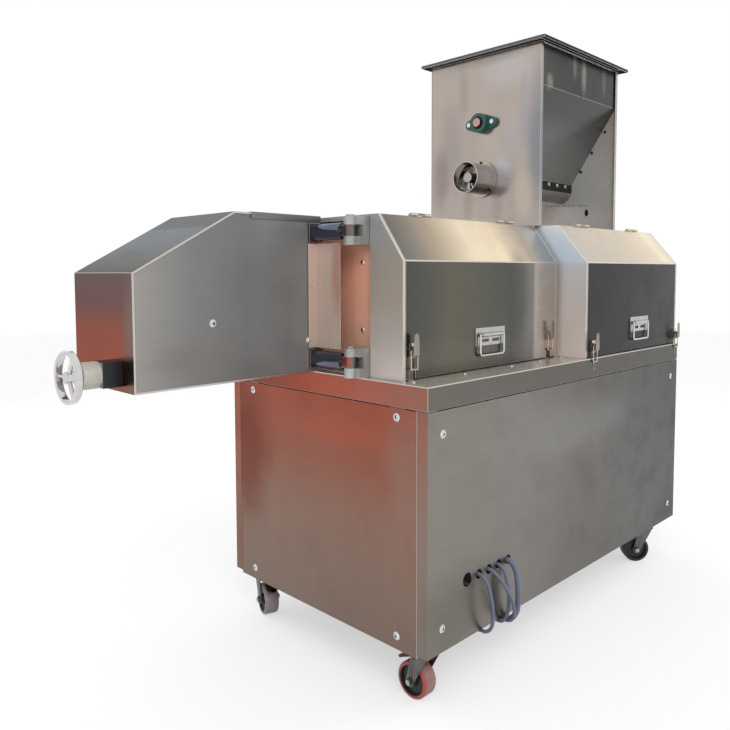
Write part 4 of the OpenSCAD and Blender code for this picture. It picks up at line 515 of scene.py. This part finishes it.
# The warm pink tones, lighter towards the top, are painted reflection
bulkhead_steel = finish(
    "brushed bulkhead",
    ("z", [(850, (206, 160, 136)), (1000, (226, 172, 146)), (1160, (242, 176, 150)), (1260, (236, 180, 154))]),
    metal=0.05, rough=0.26, grain=UPRIGHT, lines=[("y", 312, 1.4, (214, 168, 140))])
hinge_casting = finish(
    "sanded hinge casting", (184, 184, 180), metal=0.8, rough=0.46, skin=0.4, skin_scale=130.0, bump=0.3,
    waves=0.16, wave_scale=16.0)
iron = finish("painted cast iron", (74, 76, 78), metal=0.3, rough=0.5, skin=0.3, skin_scale=220.0, bump=0.3)
rubber = finish("belt rubber", (34, 34, 35), metal=0.0, rough=0.7, skin=0.3, skin_scale=600.0, bump=0.1)
frame_paint = finish("grey frame enamel", (108, 110, 112), metal=0.0, rough=0.45, skin=0.15, bump=0.1)
# The tones of each face, reddish on the end and bluish on the slope, and the patches are painted reflection and
# shade, and the line along the near side a painted highlight
box_steel = finish(
    "brushed cutter box", (128, 128, 128), rough=0.24, grain=ALONG, waves=0.07, glance=0.45,
    faces={"Front": ("x", [(-565, (158, 154, 150)), (-400, (134, 133, 132)), (-60, (116, 116, 116))]),
           "Slope": ("x", [(-565, (132, 132, 124)), (-500, (150, 154, 152)), (-430, (160, 166, 170)),
                           (-300, (178, 184, 196))]),
           "Up": ("x", [(-283, (142, 146, 152)), (-220, (132, 134, 138)), (-150, (115, 115, 116)),
                        (5, (106, 106, 106))]),
           "End": ("z", [(852, (150, 100, 90)), (930, (166, 96, 84)), (1000, (156, 98, 86)),
                         (1060, (128, 98, 95)), (1137, (118, 104, 104))])},
    lines=[("y", BOX_NEAR_Y, 1.6, (196, 194, 192))],
    patches=[((-565, 420, 960), (60, 44, 260), (132, 118, 112), 0.8),
             ((-480, 560, 1180), (40, 120, 60), (120, 124, 130), 0.4)])
# The tones along the side and the patches are painted reflection and shade
box_side_steel = finish(
    "brushed cutter side",
    ("x", [(-565, (160, 156, 152)), (-480, (142, 140, 138)), (-400, (127, 126, 125)), (-250, (117, 117, 117)),
           (-100, (138, 138, 138)), (0, (146, 145, 145))]),
    metal=0.4, rough=0.28, grain=ALONG,
    patches=[((-380, 405, 920), (200, 60, 60), (124, 116, 112), 0.5),
             ((-100, 405, 1260), (160, 60, 60), (122, 122, 122), 0.5)])
# The pink tones, lighter towards the top, and the reddish patch are painted reflection
guard_steel = finish(
    "brushed knife guard",
    ("z", [(920, (196, 176, 162)), (1060, (204, 180, 166)), (1216, (214, 186, 172))]),
    metal=0.1, rough=0.26, grain=UPRIGHT, lines=[("z", 1214, 2.0, (206, 180, 166))],
    patches=[((-15, 312, 1140), (30, 40, 200), (176, 112, 92), 0.55)])
adjuster_finish = finish(
    "adjuster paint",
    ("x", [(-658, (206, 203, 194)), (-616, (198, 194, 184)), (-614, (34, 36, 40)), (-565, (30, 31, 34))]),
    metal=0.25, rough=0.36, skin=0.25, skin_scale=200.0, bump=0.3, waves=0.14, wave_scale=30.0)
chrome = finish("polished chrome", (206, 204, 204), rough=0.07, waves=0.16, wave_scale=22.0, marks=0.08)
arm_chrome = finish("turned arm", (98, 104, 120), rough=0.12, waves=0.3, wave_scale=20.0)
latch_nickel = finish("stamped nickel", (204, 190, 168), rough=0.24, waves=0.14, wave_scale=30.0, skin=0.08)
latch_leaf = finish("stamped latch leaf", (150, 142, 134), rough=0.26, waves=0.2, wave_scale=30.0)
handle_nickel = finish("pressed handle plate", (186, 184, 180), rough=0.16, waves=0.22, wave_scale=26.0)
bright_bolts = finish("bright bolts", (214, 216, 216), rough=0.2, waves=0.2, wave_scale=60.0)
# A painted highlight, given to the rounded edges of the sheets
painted_highlight_edge = finish("polished sheet edge", (214, 208, 198), rough=0.22, waves=0.1, wave_scale=8.0)
carriage_paint = finish("carriage enamel", (70, 96, 120), metal=0.0, rough=0.4, skin=0.12, bump=0.1)
fork_zinc = finish(
    "dull zinc fork", (112, 110, 110), rough=0.42, skin=0.5, skin_scale=90.0, bump=0.2, waves=0.2,
    wave_scale=24.0)
tread_red = finish(
    "cast red tread", (180, 84, 78), metal=0.0, rough=0.5, skin=0.35, skin_scale=70.0, bump=0.15,
    waves=0.14, wave_scale=24.0)
tread_rose = finish(
    "worn red tread", (166, 122, 116), metal=0.0, rough=0.5, skin=0.4, skin_scale=70.0, bump=0.15,
    waves=0.16, wave_scale=24.0)
tread_pale = finish(
    "worn pale tread", (158, 146, 144), metal=0.0, rough=0.5, skin=0.4, skin_scale=70.0, bump=0.15,
    waves=0.16, wave_scale=24.0)
tread_dark = finish("oily dark tread", (36, 35, 38), metal=0.0, rough=0.42, skin=0.4, skin_scale=70.0, bump=0.15)
# The side and the running face of each wheel's tread; wheel 2 is dark all over and wheel 3 pale all over
TREADS = {1: [tread_red, tread_rose], 2: [tread_dark, tread_dark], 3: [tread_pale, tread_pale],
          4: [tread_red, tread_rose]}
wheel_core = finish("cast wheel core", (30, 31, 32), metal=0.2, rough=0.45, skin=0.4, skin_scale=160.0, bump=0.3)
pedal_dark = finish("blackened pedal", (60, 62, 58), metal=0.5, rough=0.46, skin=0.4, skin_scale=140.0, bump=0.2)
clamp_black = finish("moulded clamp", (28, 28, 30), metal=0.0, rough=0.45, skin=0.2, bump=0.1)
jacket = finish(
    "blue grey cable jacket", (108, 116, 138), metal=0.0, rough=0.42, skin=0.14, skin_scale=340.0, bump=0.08,
    waves=0.08, wave_scale=12.0)
copper = finish("copper strands", (196, 122, 84), rough=0.3, skin=0.2)
shadow_hole = finish("shadow inside a hole", (16, 16, 17), metal=0.0, rough=0.9, skin=0.2)
dark_screw = finish("dark screws", (78, 72, 70), rough=0.34, waves=0.2, wave_scale=60.0)
cap_pink = finish("shaft end", (186, 150, 142), rough=0.2, waves=0.12, wave_scale=40.0)


# Finish of each CAD piece
JOIN_REACH = 0.02
SHARP_DEGREES = 30


def dress(name, material, rounding=0.6, edge=None):
    """Gives a CAD piece its finish, and rounds its sharp edges by a radius in millimetres."""
    part = frame["nodes"][name]
    part.data.materials.clear()
    part.data.materials.append(material)
    part.data.materials.append(edge or material)
    if not rounding:
        return
    if "custom_normal" in part.data.attributes:
        part.data.attributes.remove(part.data.attributes["custom_normal"])
    part.data.shade_smooth()
    joined = part.modifiers.new("joined faces", "WELD")
    joined.merge_threshold = JOIN_REACH * MM
    rounded = part.modifiers.new("rounded edges", "BEVEL")
    rounded.width = rounding * MM
    rounded.segments = 2
    rounded.limit_method = "ANGLE"
    rounded.angle_limit = math.radians(SHARP_DEGREES)
    rounded.use_clamp_overlap = False
    rounded.harden_normals = True
    # The rounded edges take the second material, which on the sheets is a painted highlight
    rounded.material = 1


def numbered(name, numbers):
    return [f"{name}_{i}" for i in numbers]


ALL_FOUR = [1, 2, 3, 4]
SHEETS = {
    "side_panel_front": front_steel, "side_panel_back": back_steel, "end_panels": end_steel, "deck": deck_steel,
    "barrel_cover": barrel_cover_steel, "drive_cover": drive_cover_steel, "barrel_door": barrel_door_steel,
    "drive_door": drive_door_steel, "hopper_end_plates": hopper_plate_steel, "hopper_walls": hopper_wall_steel,
    "hopper_rim": rim_steel, "cutter_box": box_steel, "cutter_side_panel": box_side_steel,
    "knife_guard": guard_steel, "bulkhead": bulkhead_steel}
# Panels whose folded edges stay crisp
FLAT_SHEETS = ["side_panel_front", "side_panel_back", "end_panels"]
SOLIDS = {
    "base_frame": frame_paint, "panel_bolts": bright_bolts, "barrel_door_fittings": handle_nickel,
    "drive_door_fittings": handle_nickel, "barrel_handle": chrome, "drive_handle": chrome,
    "feed_tube": tube_steel, "flange_bearings": bearing_green, "feed_motor": motor_paint,
    "feed_chain": chain_steel, "feed_auger": machined, "agitator": machined, "barrel": barrel_steel,
    "hinge_blocks": hinge_casting, "extruder_screw": machined, "bearing_housing": motor_paint,
    "driven_pulley": iron, "motor_pulley": iron, "main_motor": motor_paint, "drive_belts": rubber,
    "adjuster": adjuster_finish, "handwheel": chrome, "cutter_carriage": carriage_paint,
    "knife_rotor": machined, "cable_clamp": clamp_black, "brake_pedal_1": pedal_dark,
    "brake_pedal_3": pedal_dark}
for node_name, material in SHEETS.items():
    dress(node_name, material, 0 if node_name in FLAT_SHEETS else 0.7, painted_highlight_edge)
for node_name, material in SOLIDS.items():
    dress(node_name, material)
for node_name in numbered("latch_lever", ALL_FOUR):
    dress(node_name, latch_leaf, 0.5, latch_nickel)
for node_name in numbered("latch_loop", ALL_FOUR):
    dress(node_name, latch_nickel, 0.3)
for node_name in numbered("caster_fork", ALL_FOUR):
    dress(node_name, fork_zinc, 0.6)


# Mesh helpers: each piece is one bmesh, with profiles in millimetres
FRONT, BACK, DIE_END, DRIVE_END, UP, DOWN = (0, -1, 0), (0, 1, 0), (-1, 0, 0), (1, 0, 0), (0, 0, 1), (0, 0, -1)
# Edges of added pieces that bend more than this, in radians, look sharp
SHARP_BEND = 0.6
# How far a fastener is sunk into what carries it
SUNK = 0.4


def sides_of(axis):
    """Two directions across an axis."""
    across = Vector(UP) if abs(axis.z) < 0.9 else Vector(DRIVE_END)
    first = axis.cross(across).normalized()
    return first, axis.cross(first).normalized()


def ring_angles(steps):
    return [2 * math.pi * k / steps for k in range(steps)]


def turned(mesh, centre, axis, profile, steps=24, slot=0, closed=False):
    """Turns a profile of (distance along the axis, radius) about an axis through the centre."""
    axis = Vector(axis).normalized()
    first, second = sides_of(axis)
    rings = []
    for along, radius in profile:
        middle = centre + axis * along * MM
        if radius == 0:
            rings.append([mesh.verts.new(middle)] * steps)
            continue
        rings.append([mesh.verts.new(middle + (first * math.cos(a) + second * math.sin(a)) * radius * MM)
                      for a in ring_angles(steps)])
    pairs = list(zip(rings, rings[1:]))
    if closed:
        pairs.append((rings[-1], rings[0]))
    for low, high in pairs:
        for k in range(steps):
            n = (k + 1) % steps
            corners = []
            for vertex in (low[k], low[n], high[n], high[k]):
                if vertex not in corners:
                    corners.append(vertex)
            face = mesh.faces.new(corners)
            face.material_index = slot
            face.smooth = True


def piece(name, body, materials, build):
    """A new mesh piece that rides on a body; build fills its bmesh."""
    mesh = bmesh.new()
    build(mesh)
    bmesh.ops.recalc_face_normals(mesh, faces=mesh.faces)
    for edge in mesh.edges:
        if len(edge.link_faces) == 2 and edge.calc_face_angle() > SHARP_BEND:
            edge.smooth = False
    data = bpy.data.meshes.new(name)
    mesh.to_mesh(data)
    mesh.free()
    for material in materials:
        data.materials.append(material)
    made = bpy.data.objects.new(name, data)
    bpy.context.scene.collection.objects.link(made)
    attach(made, body)
    return made


def washer(mesh, centre, axis, inner, outer, thick):
    """A washer whose outer rim is turned off by a share of its thickness."""
    profile = [(0, inner), (0, outer), (thick * 0.7, outer), (thick, outer - thick * 0.4), (thick, inner)]
    turned(mesh, centre, axis, profile, steps=28, closed=True)


def screw_head(mesh, centre, axis, radius, height):
    """A pan head in the first material, with the floor of its socket in the second."""
    floor = (height * 0.5, radius * 0.42)
    crown = [(height * 0.45, radius), (height * 0.8, radius * 0.86), (height, radius * 0.62)]
    turned(mesh, centre, axis, [(-SUNK, radius)] + crown + [(height, radius * 0.46), floor], steps=20)
    turned(mesh, centre, axis, [floor, (height * 0.5, 0)], steps=20, slot=1)


def hex_nut(mesh, centre, axis, radius, height):
    """A hexagon head with its rim turned off at the top."""
    profile = [(-SUNK, radius), (height * 0.85, radius), (height, radius * 0.86), (height, 0)]
    turned(mesh, centre, axis, profile, steps=6)


def screws(name, body, slot, places, radius, height, head=None):
    """A set of pan-head screws, at pairs of place and axis."""
    def heads(mesh):
        for place, axis in places:
            screw_head(mesh, place, axis, radius, height)

    return piece(name, body, [head or bright_bolts, shadow_hole], heads)


# Cables
CABLE_RADII = [5, 5, 5, 8]
CABLE_ROUTES = [
    [(217, 22, 311), (217, 8, 311), (217, -6, 309), (218, -18, 302), (220, -27, 288), (223, -33, 266),
     (228, -37, 235), (234, -36, 195), (238, -27, 160), (241, -8, 142), (244, 18, 137), (250, 50, 122),
     (258, 85, 92), (268, 120, 62), (280, 152, 36), (296, 190, 12), (315, 260, 5), (335, 340, 5),
     (350, 396, 5), (350, 420, 5)],
    [(263, 22, 311), (263, 8, 311), (264, -7, 309), (267, -21, 301), (274, -33, 286), (285, -43, 262),
     (299, -50, 232), (314, -50, 195), (328, -38, 160), (338, -12, 141), (344, 18, 137), (352, 50, 122),
     (366, 85, 92), (386, 120, 62), (410, 152, 36), (442, 190, 12), (492, 245, 5), (556, 306, 5),
     (608, 356, 5), (630, 398, 5), (630, 420, 5)],
    [(309, 22, 311), (309, 8, 311), (309, -6, 309), (310, -16, 301), (312, -22, 286), (315, -26, 264),
     (319, -29, 235), (322, -27, 195), (323, -19, 162), (323, -4, 142), (325, 20, 137), (330, 50, 122),
     (340, 85, 92), (353, 120, 62), (370, 152, 36), (394, 190, 12), (425, 250, 5), (464, 335, 5),
     (490, 396, 5), (490, 420, 5)],
    [(355, 22, 311), (355, 8, 311), (355, -8, 308), (355, -20, 299), (355, -29, 282), (355, -34, 260),
     (354, -37, 232), (354, -37, 195), (355, -29, 162), (357, -8, 139), (362, 20, 134), (374, 50, 120),
     (394, 85, 94), (420, 120, 66), (450, 152, 40), (486, 190, 16), (550, 250, 8), (604, 308, 8),
     (638, 352, 8), (650, 392, 8), (650, 414, 8)]]
# The coils: outer radius, hand, turns in the two layers together, and the gap between neighbouring rounds
COIL_RADII = [60, 60, 60, 96]
COIL_HANDS = [1, 1, 1, -1]
COIL_TURNS = 4
COIL_STEPS = 24
COIL_GAP = 1.2
# The climb to the upper layer takes half a turn, about the middle of the coil
CLIMB_TURNS = 0.5
# Cores at a cable's end: how many, the angle between them in radians, and their sizes as shares of the cable's
# radius, with the ends of their jackets and strands in millimetres
CORES = 3
CORE_TURN = 2.1
CORE_OFFSET_SHARE = 0.45
CORE_JACKET_SHARE = 0.34
CORE_TIP_SHARE = 0.2
STRAND_SHARE = 0.22
CORE_JACKET_L = 9
STRAND_END = 15


def coil_points(start, radius, big, hand):
    """Two layers: in on the floor, up where the spiral turns back, and out again on top."""
    start = Vector(start)
    first = start + Vector((0, 2 * radius, 0))
    centre = first - Vector((hand * big, 0, 0))
    pitch = 2 * radius + COIL_GAP
    points = []
    for k in range(COIL_TURNS * COIL_STEPS + 1):
        t = k / COIL_STEPS
        angle = hand * 2 * math.pi * t
        reach = big - pitch * min(t, COIL_TURNS - t)
        s = max(0, min(1, (t - COIL_TURNS / 2 + CLIMB_TURNS / 2) / CLIMB_TURNS))
        climb = s * s * (3 - 2 * s) * pitch
        points.append(centre + Vector((hand * reach * math.cos(angle), hand * reach * math.sin(angle), climb)))
    points.append(first + Vector((0, 2 * radius, pitch)))
    return points


def make_cable(number):
    radius = CABLE_RADII[number]
    route = [Vector(p) for p in CABLE_ROUTES[number]]
    path = [at(*p) for p in route + coil_points(route[-1], radius, COIL_RADII[number], COIL_HANDS[number])]
    data = bpy.data.curves.new(f"cable_{number + 1}", "CURVE")
    data.dimensions = "3D"
    line = data.splines.new("BEZIER")
    line.bezier_points.add(len(path) - 1)
    for point, place in zip(line.bezier_points, path):
        point.co = place
        point.handle_left_type = point.handle_right_type = "AUTO"
    line.resolution_u = 4
    data.bevel_depth = radius * MM
    data.bevel_resolution = 4
    data.use_fill_caps = True
    data.materials.append(jacket)
    cable = bpy.data.objects.new(f"cable_{number + 1}", data)
    bpy.context.scene.collection.objects.link(cable)
    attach(cable, "machine")
    way = (path[-1] - path[-2]).normalized()
    across, over = sides_of(way)

    def cores(mesh):
        for turn in range(CORES):
            angle = turn * CORE_TURN
            side = (across * math.cos(angle) + over * math.sin(angle)) * radius * CORE_OFFSET_SHARE * MM
            root = path[-1] + side - way * MM
            skin, tip = radius * CORE_JACKET_SHARE, radius * CORE_TIP_SHARE
            sleeve = [(0, skin), (CORE_JACKET_L, skin), (CORE_JACKET_L + 0.4, tip)]
            turned(mesh, root, way, sleeve, steps=12, slot=1)
            strand = radius * STRAND_SHARE
            turned(mesh, root, way, [(CORE_JACKET_L, strand), (STRAND_END, strand), (STRAND_END, 0)], steps=12)

    ends = piece(f"cable_cores_{number + 1}", "machine", [copper, clamp_black], cores)
    return cable


cables = [make_cable(number) for number in range(len(CABLE_ROUTES))]
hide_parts("cable_leads", "cable_coils")


# Washers of the panels' dome bolts, and dark discs of painted shade for the sockets in the bolts' heads
SIDE_BOLT_INSET = 59
SIDE_BOLT_LEVELS = (214, 724)
END_BOLT_INSET = 105
END_BOLT_LEVELS = (179, 761)
PANEL_WASHER = {"inner": 7.05, "outer": 11, "thick": 1.4}
DOME_H = 4.2
SOCKET = [(0, 3.1), (0.5, 2.9), (0.5, 0)]


def bolt_places():
    for x in (SIDE_BOLT_INSET, CABINET_L - SIDE_BOLT_INSET):
        for z in SIDE_BOLT_LEVELS:
            yield at(x, 0, z), FRONT
            yield at(x, CABINET_W, z), BACK
    for y in (END_BOLT_INSET, CABINET_W - END_BOLT_INSET):
        for z in END_BOLT_LEVELS:
            yield at(0, y, z), DIE_END
            yield at(CABINET_L, y, z), DRIVE_END


def panel_washers(mesh):
    for place, axis in bolt_places():
        washer(mesh, place, axis, **PANEL_WASHER)
        turned(mesh, place + Vector(axis) * DOME_H * MM, axis, SOCKET, steps=6, slot=1)


piece("panel_washers", "machine", [bright_bolts, shadow_hole], panel_washers)

# Screws on the deck tray: a row in front of the barrel cover, and four under it
DECK_ROW_XS = (34, 250, 480, 640, 770)
DECK_ROW_Y = 78
UNDER_COVER_XS = (60, 760)
UNDER_COVER_OFFSET = 140
deck_places = [(at(x, DECK_ROW_Y, DECK_Z), UP) for x in DECK_ROW_XS]
deck_places += [(at(x, MID_Y + side * UNDER_COVER_OFFSET, DECK_Z), UP)
                for x in UNDER_COVER_XS for side in (-1, 1)]
screws("deck_screws", "machine", "bolts", deck_places, radius=5.5, height=3)

# Cutter box: two dome bolts with washers through the near side, and the arms' turned sleeves
BOX_BOLT_PLACES = ((-351.6, 1007.6), (-38.6, 944.4))
BOX_WASHER = {"inner": 5, "outer": 10, "thick": 1.2}
BOX_SIDE_RECESS = 2.3
SLEEVE_START = 25
SLEEVE = [(-0.4, 16), (-0.4, 22.4), (1, 22.9), (112, 22.9), (112, 21)]


def box_bolts(mesh):
    for x, z in BOX_BOLT_PLACES:
        place = at(x, BOX_NEAR_Y + BOX_SIDE_RECESS, z)
        washer(mesh, place, FRONT, **BOX_WASHER)
        screw_head(mesh, place + Vector(FRONT) * BOX_WASHER["thick"] * MM, FRONT, radius=7, height=4)


def arm_sleeves(mesh):
    for z in ARM_LEVELS:
        turned(mesh, at(ARM_X, ARM_Y + SLEEVE_START, z), BACK, SLEEVE, steps=48)


piece("box_bolts", "cutter_box", [bright_bolts, shadow_hole], box_bolts)
piece("arm_sleeves", "cutter_box", [arm_chrome], arm_sleeves)

# Screws that hold the handle plates, bulkhead, trough and feed tube, and the rivets of the far plate
HANDLE_SCREW_SPREAD = 55
HANDLE_SCREW_RISES = (14, -27)
PLATE_FACE = 2.5
PLATE_SCREW = {"radius": 3.4, "height": 1.8}
BULKHEAD_X = 40
BULKHEAD_SCREW_Y = MID_Y - 149
BULKHEAD_SCREW_LEVELS = (976, 1163)
TROUGH_BOLT_XS = range(850, 1300, 62)
TROUGH_BOLT_Y = 50
TROUGH_BOLT_RISE = 11
ROOT_RADIUS = 59
ROOT_DEGREES = (90, 210, 314)
ROOT_FACE = HOPPER_X - 8
FAR_FACE = HOPPER_END - 3
RIVET_PLACES = ((226, 1684), (280, 1609), (327, 1538))


def plate_places(x, y):
    return [(at(x + side * HANDLE_SCREW_SPREAD, y - PLATE_FACE, DECK_Z + HANDLE_H + rise), FRONT)
            for side in (-1, 0, 1) for rise in HANDLE_SCREW_RISES]


def root_place(degrees):
    angle = math.radians(degrees)
    return at(ROOT_FACE, MID_Y - ROOT_RADIUS * math.cos(angle), FEED_Z + ROOT_RADIUS * math.sin(angle))


screws("barrel_plate_screws", "barrel_door", "fittings", plate_places(BARREL_HANDLE_X, BARREL_DOOR_Y),
       **PLATE_SCREW)
screws("drive_plate_screws", "drive_door", "fittings", plate_places(DRIVE_HANDLE_X, DRIVE_DOOR_Y),
       **PLATE_SCREW)
screws("bulkhead_screws", "machine", "bolts",
       [(at(BULKHEAD_X, BULKHEAD_SCREW_Y, z), DIE_END) for z in BULKHEAD_SCREW_LEVELS], radius=7, height=4)
screws("trough_bolts", "machine", "bolts",
       [(at(x, MID_Y + side * TROUGH_BOLT_Y, FEED_Z + TROUGH_BOLT_RISE), axis)
        for x in TROUGH_BOLT_XS for side, axis in ((-1, FRONT), (1, BACK))], radius=8, height=5)
screws("tube_root_screws", "machine", "bolts",
       [(root_place(a), DIE_END) for a in ROOT_DEGREES], radius=5, height=4, head=dark_screw)
screws("hopper_rivets", "machine", "bolts",
       [(at(FAR_FACE, y, z), DIE_END) for y, z in RIVET_PLACES], radius=6, height=3, head=dark_screw)

# The agitator's flange bearing on the near plate: two bolts, a seal, and the cap on the shaft's end
BEARING_BOLT_Y = 49.5
BEARING_BOLT = {"radius": 9, "height": 6.5}
BEARING_FOOT = 12
BEARING_NOSE = 25.9
SEAL = {"inner": 16.2, "outer": 21.6, "thick": 1.2}
SHAFT_END = 27
SHAFT_CAP = [(0, 12.6), (0, 15.6), (11, 15.6), (12.4, 14.2), (12.4, 0)]


def bearing_bolts(mesh):
    for side in (-1, 1):
        place = at(HOPPER_X - BEARING_FOOT, MID_Y + side * BEARING_BOLT_Y, AGITATOR_Z)
        hex_nut(mesh, place, DIE_END, **BEARING_BOLT)


def bearing_seal(mesh):
    washer(mesh, at(HOPPER_X - BEARING_NOSE, MID_Y, AGITATOR_Z), DIE_END, **SEAL)


def shaft_cap(mesh):
    turned(mesh, at(HOPPER_X - SHAFT_END, MID_Y, AGITATOR_Z), DIE_END, SHAFT_CAP, steps=32)


piece("bearing_bolts", "machine", [bright_bolts], bearing_bolts)
piece("bearing_seal", "machine", [rubber], bearing_seal)
piece("shaft_cap", "agitator", [cap_pink], shaft_cap)

# Dark discs of painted shade for a row of small holes and an oval one in the hopper's drive-end plate
HOLE_ROW = [MID_Y + 68 - 13 * k for k in range(11)] + [333, 318, 303]
ROW_Z = FEED_Z - 82
ROW_RISE = 0.054
HOLE = [(-0.1, 2.8), (0.3, 2.8), (0.3, 0)]
OVAL = {"y": 300, "z": FEED_Z - 95, "half_w": 8, "half_h": 14}


def plate_holes(mesh):
    for y in HOLE_ROW:
        turned(mesh, at(FAR_FACE, y, ROW_Z + y * ROW_RISE), DIE_END, HOLE, steps=12)
    mesh.faces.new([mesh.verts.new(at(FAR_FACE - 0.4, OVAL["y"] + OVAL["half_w"] * math.cos(a),
                                      OVAL["z"] + OVAL["half_h"] * math.sin(a))) for a in ring_angles(24)])


piece("plate_holes", "machine", [shadow_hole], plate_holes)

# Casters: a cast core in its tread, and the bolts of the plates and axles. Half profiles start at a wheel's side.
WHEEL_HALF = 23
TREAD_HALF = [(0, 41), (0, 45.5), (1.6, 48.3), (5, 50)]
CORE_HALF = [(0, 6.1), (0, 16), (1, 17), (7, 18), (8, 36), (1, 38.5), (0.4, 41.2)]
RUNNING_FACE_R = 49.2
AXLE_NUT = {"out": 35.5, "radius": 8, "height": 3}
PLATE_BOLT_Z = 146
PLATE_BOLT_SPREAD = (36, 33)
PLATE_BOLT = {"radius": 6.5, "height": 5}


def both_halves(profile):
    near = [(depth - WHEEL_HALF, radius) for depth, radius in profile]
    return near + [(-along, radius) for along, radius in reversed(near)]


def joint_of(body):
    return next(joint for joint in frame["joints"] if joint["child"] == body)


def wheel_of(number):
    wheel, fork = f"caster_wheel_{number}", f"caster_fork_{number}"
    low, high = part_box(wheel)
    centre = (low + high) / 2
    axle = Vector(joint_of(wheel)["axis"]).normalized()
    stem = Vector(joint_of(fork)["pos_m"])

    def tread(mesh):
        turned(mesh, centre, axle, both_halves(TREAD_HALF), steps=72)
        for face in mesh.faces:
            middle = face.calc_center_median() - centre
            if (middle - axle * middle.dot(axle)).length > RUNNING_FACE_R * MM:
                face.material_index = 1

    def core(mesh):
        turned(mesh, centre, axle, both_halves(CORE_HALF), steps=64, closed=True)

    def nuts(mesh):
        for side in (-1, 1):
            place = centre + axle * side * AXLE_NUT["out"] * MM
            hex_nut(mesh, place, axle * side, AXLE_NUT["radius"], AXLE_NUT["height"])

    def plate_bolts(mesh):
        middle = Vector((stem.x, stem.y, PLATE_BOLT_Z * MM))
        across, along = PLATE_BOLT_SPREAD
        for x in (-across, across):
            for y in (-along, along):
                hex_nut(mesh, middle + Vector((x, y, 0)) * MM, DOWN, **PLATE_BOLT)

    made = piece(f"wheel_tread_{number}", wheel, TREADS[number], tread)
    piece(f"wheel_core_{number}", wheel, [wheel_core], core)
    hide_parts(wheel)
    piece(f"axle_nuts_{number}", fork, [machined], nuts)
    piece(f"caster_bolts_{number}", "machine", [bright_bolts], plate_bolts)


for number in ALL_FOUR:
    wheel_of(number)


# Stage and light. The white of floor and backdrop shows to the camera and in reflections, and lights less.
WORLD_LIGHT = 0.75
FLOOR_HALF = 12
FLOOR_GLOW = 0.54
FLOOR_TONE = 0.5
LAMPS = {
    "key": {"place": (-2.6, -3.2, 3.6), "target": (0, 0, 0.9), "size": 2.4, "power": 70},
    "fill": {"place": (3.4, -2.4, 2.6), "target": (0, 0, 0.8), "size": 2.6, "power": 35},
    "rear": {"place": (-1.0, 3.6, 3.0), "target": (0, 0, 0.9), "size": 2.6, "power": 35}}


def seen_directly(tree, otherwise):
    """1 for rays from the camera, in a reflection or through glass, and another strength for the rest."""
    path = add(tree, "ShaderNodeLightPath").outputs
    mirrored = maths(tree, "MAXIMUM", path["Is Glossy Ray"], path["Is Transmission Ray"])
    return ranged(tree, maths(tree, "MAXIMUM", path["Is Camera Ray"], mirrored), to_low=otherwise)


def make_world():
    world = bpy.data.worlds.new("white studio")
    bpy.context.scene.world = world
    world.use_nodes = True
    background = world.node_tree.nodes["Background"]
    background.inputs["Color"].default_value = (1, 1, 1, 1)
    world.node_tree.links.new(seen_directly(world.node_tree, WORLD_LIGHT), background.inputs["Strength"])


def make_floor():
    data = bpy.data.meshes.new("floor")
    corners = [(x * FLOOR_HALF, y * FLOOR_HALF, 0) for x, y in ((-1, -1), (1, -1), (1, 1), (-1, 1))]
    data.from_pydata(corners, [], [(0, 1, 2, 3)])
    floor = bpy.data.objects.new("floor", data)
    bpy.context.scene.collection.objects.link(floor)
    paper = bpy.data.materials.new("white floor")
    paper.use_nodes = True
    shader = paper.node_tree.nodes["Principled BSDF"]
    shader.inputs["Base Color"].default_value = (FLOOR_TONE, FLOOR_TONE, FLOOR_TONE, 1)
    shader.inputs["Roughness"].default_value = 0.9
    shader.inputs["Emission Color"].default_value = (1, 1, 1, 1)
    glow = ranged(paper.node_tree, seen_directly(paper.node_tree, 0.0), to_high=FLOOR_GLOW)
    paper.node_tree.links.new(glow, shader.inputs["Emission Strength"])
    data.materials.append(paper)


def lamp(name, place, target, size, power):
    light = bpy.data.objects.new(name, bpy.data.lights.new(name, "AREA"))
    light.data.shape = "DISK"
    light.data.size = size
    light.data.energy = power
    light.location = place
    light.rotation_mode = "QUATERNION"
    light.rotation_quaternion = (Vector(target) - Vector(place)).to_track_quat("-Z", "Y")
    light.visible_glossy = False
    bpy.context.scene.collection.objects.link(light)


make_world()
make_floor()
for name, values in LAMPS.items():
    lamp(name, **values)
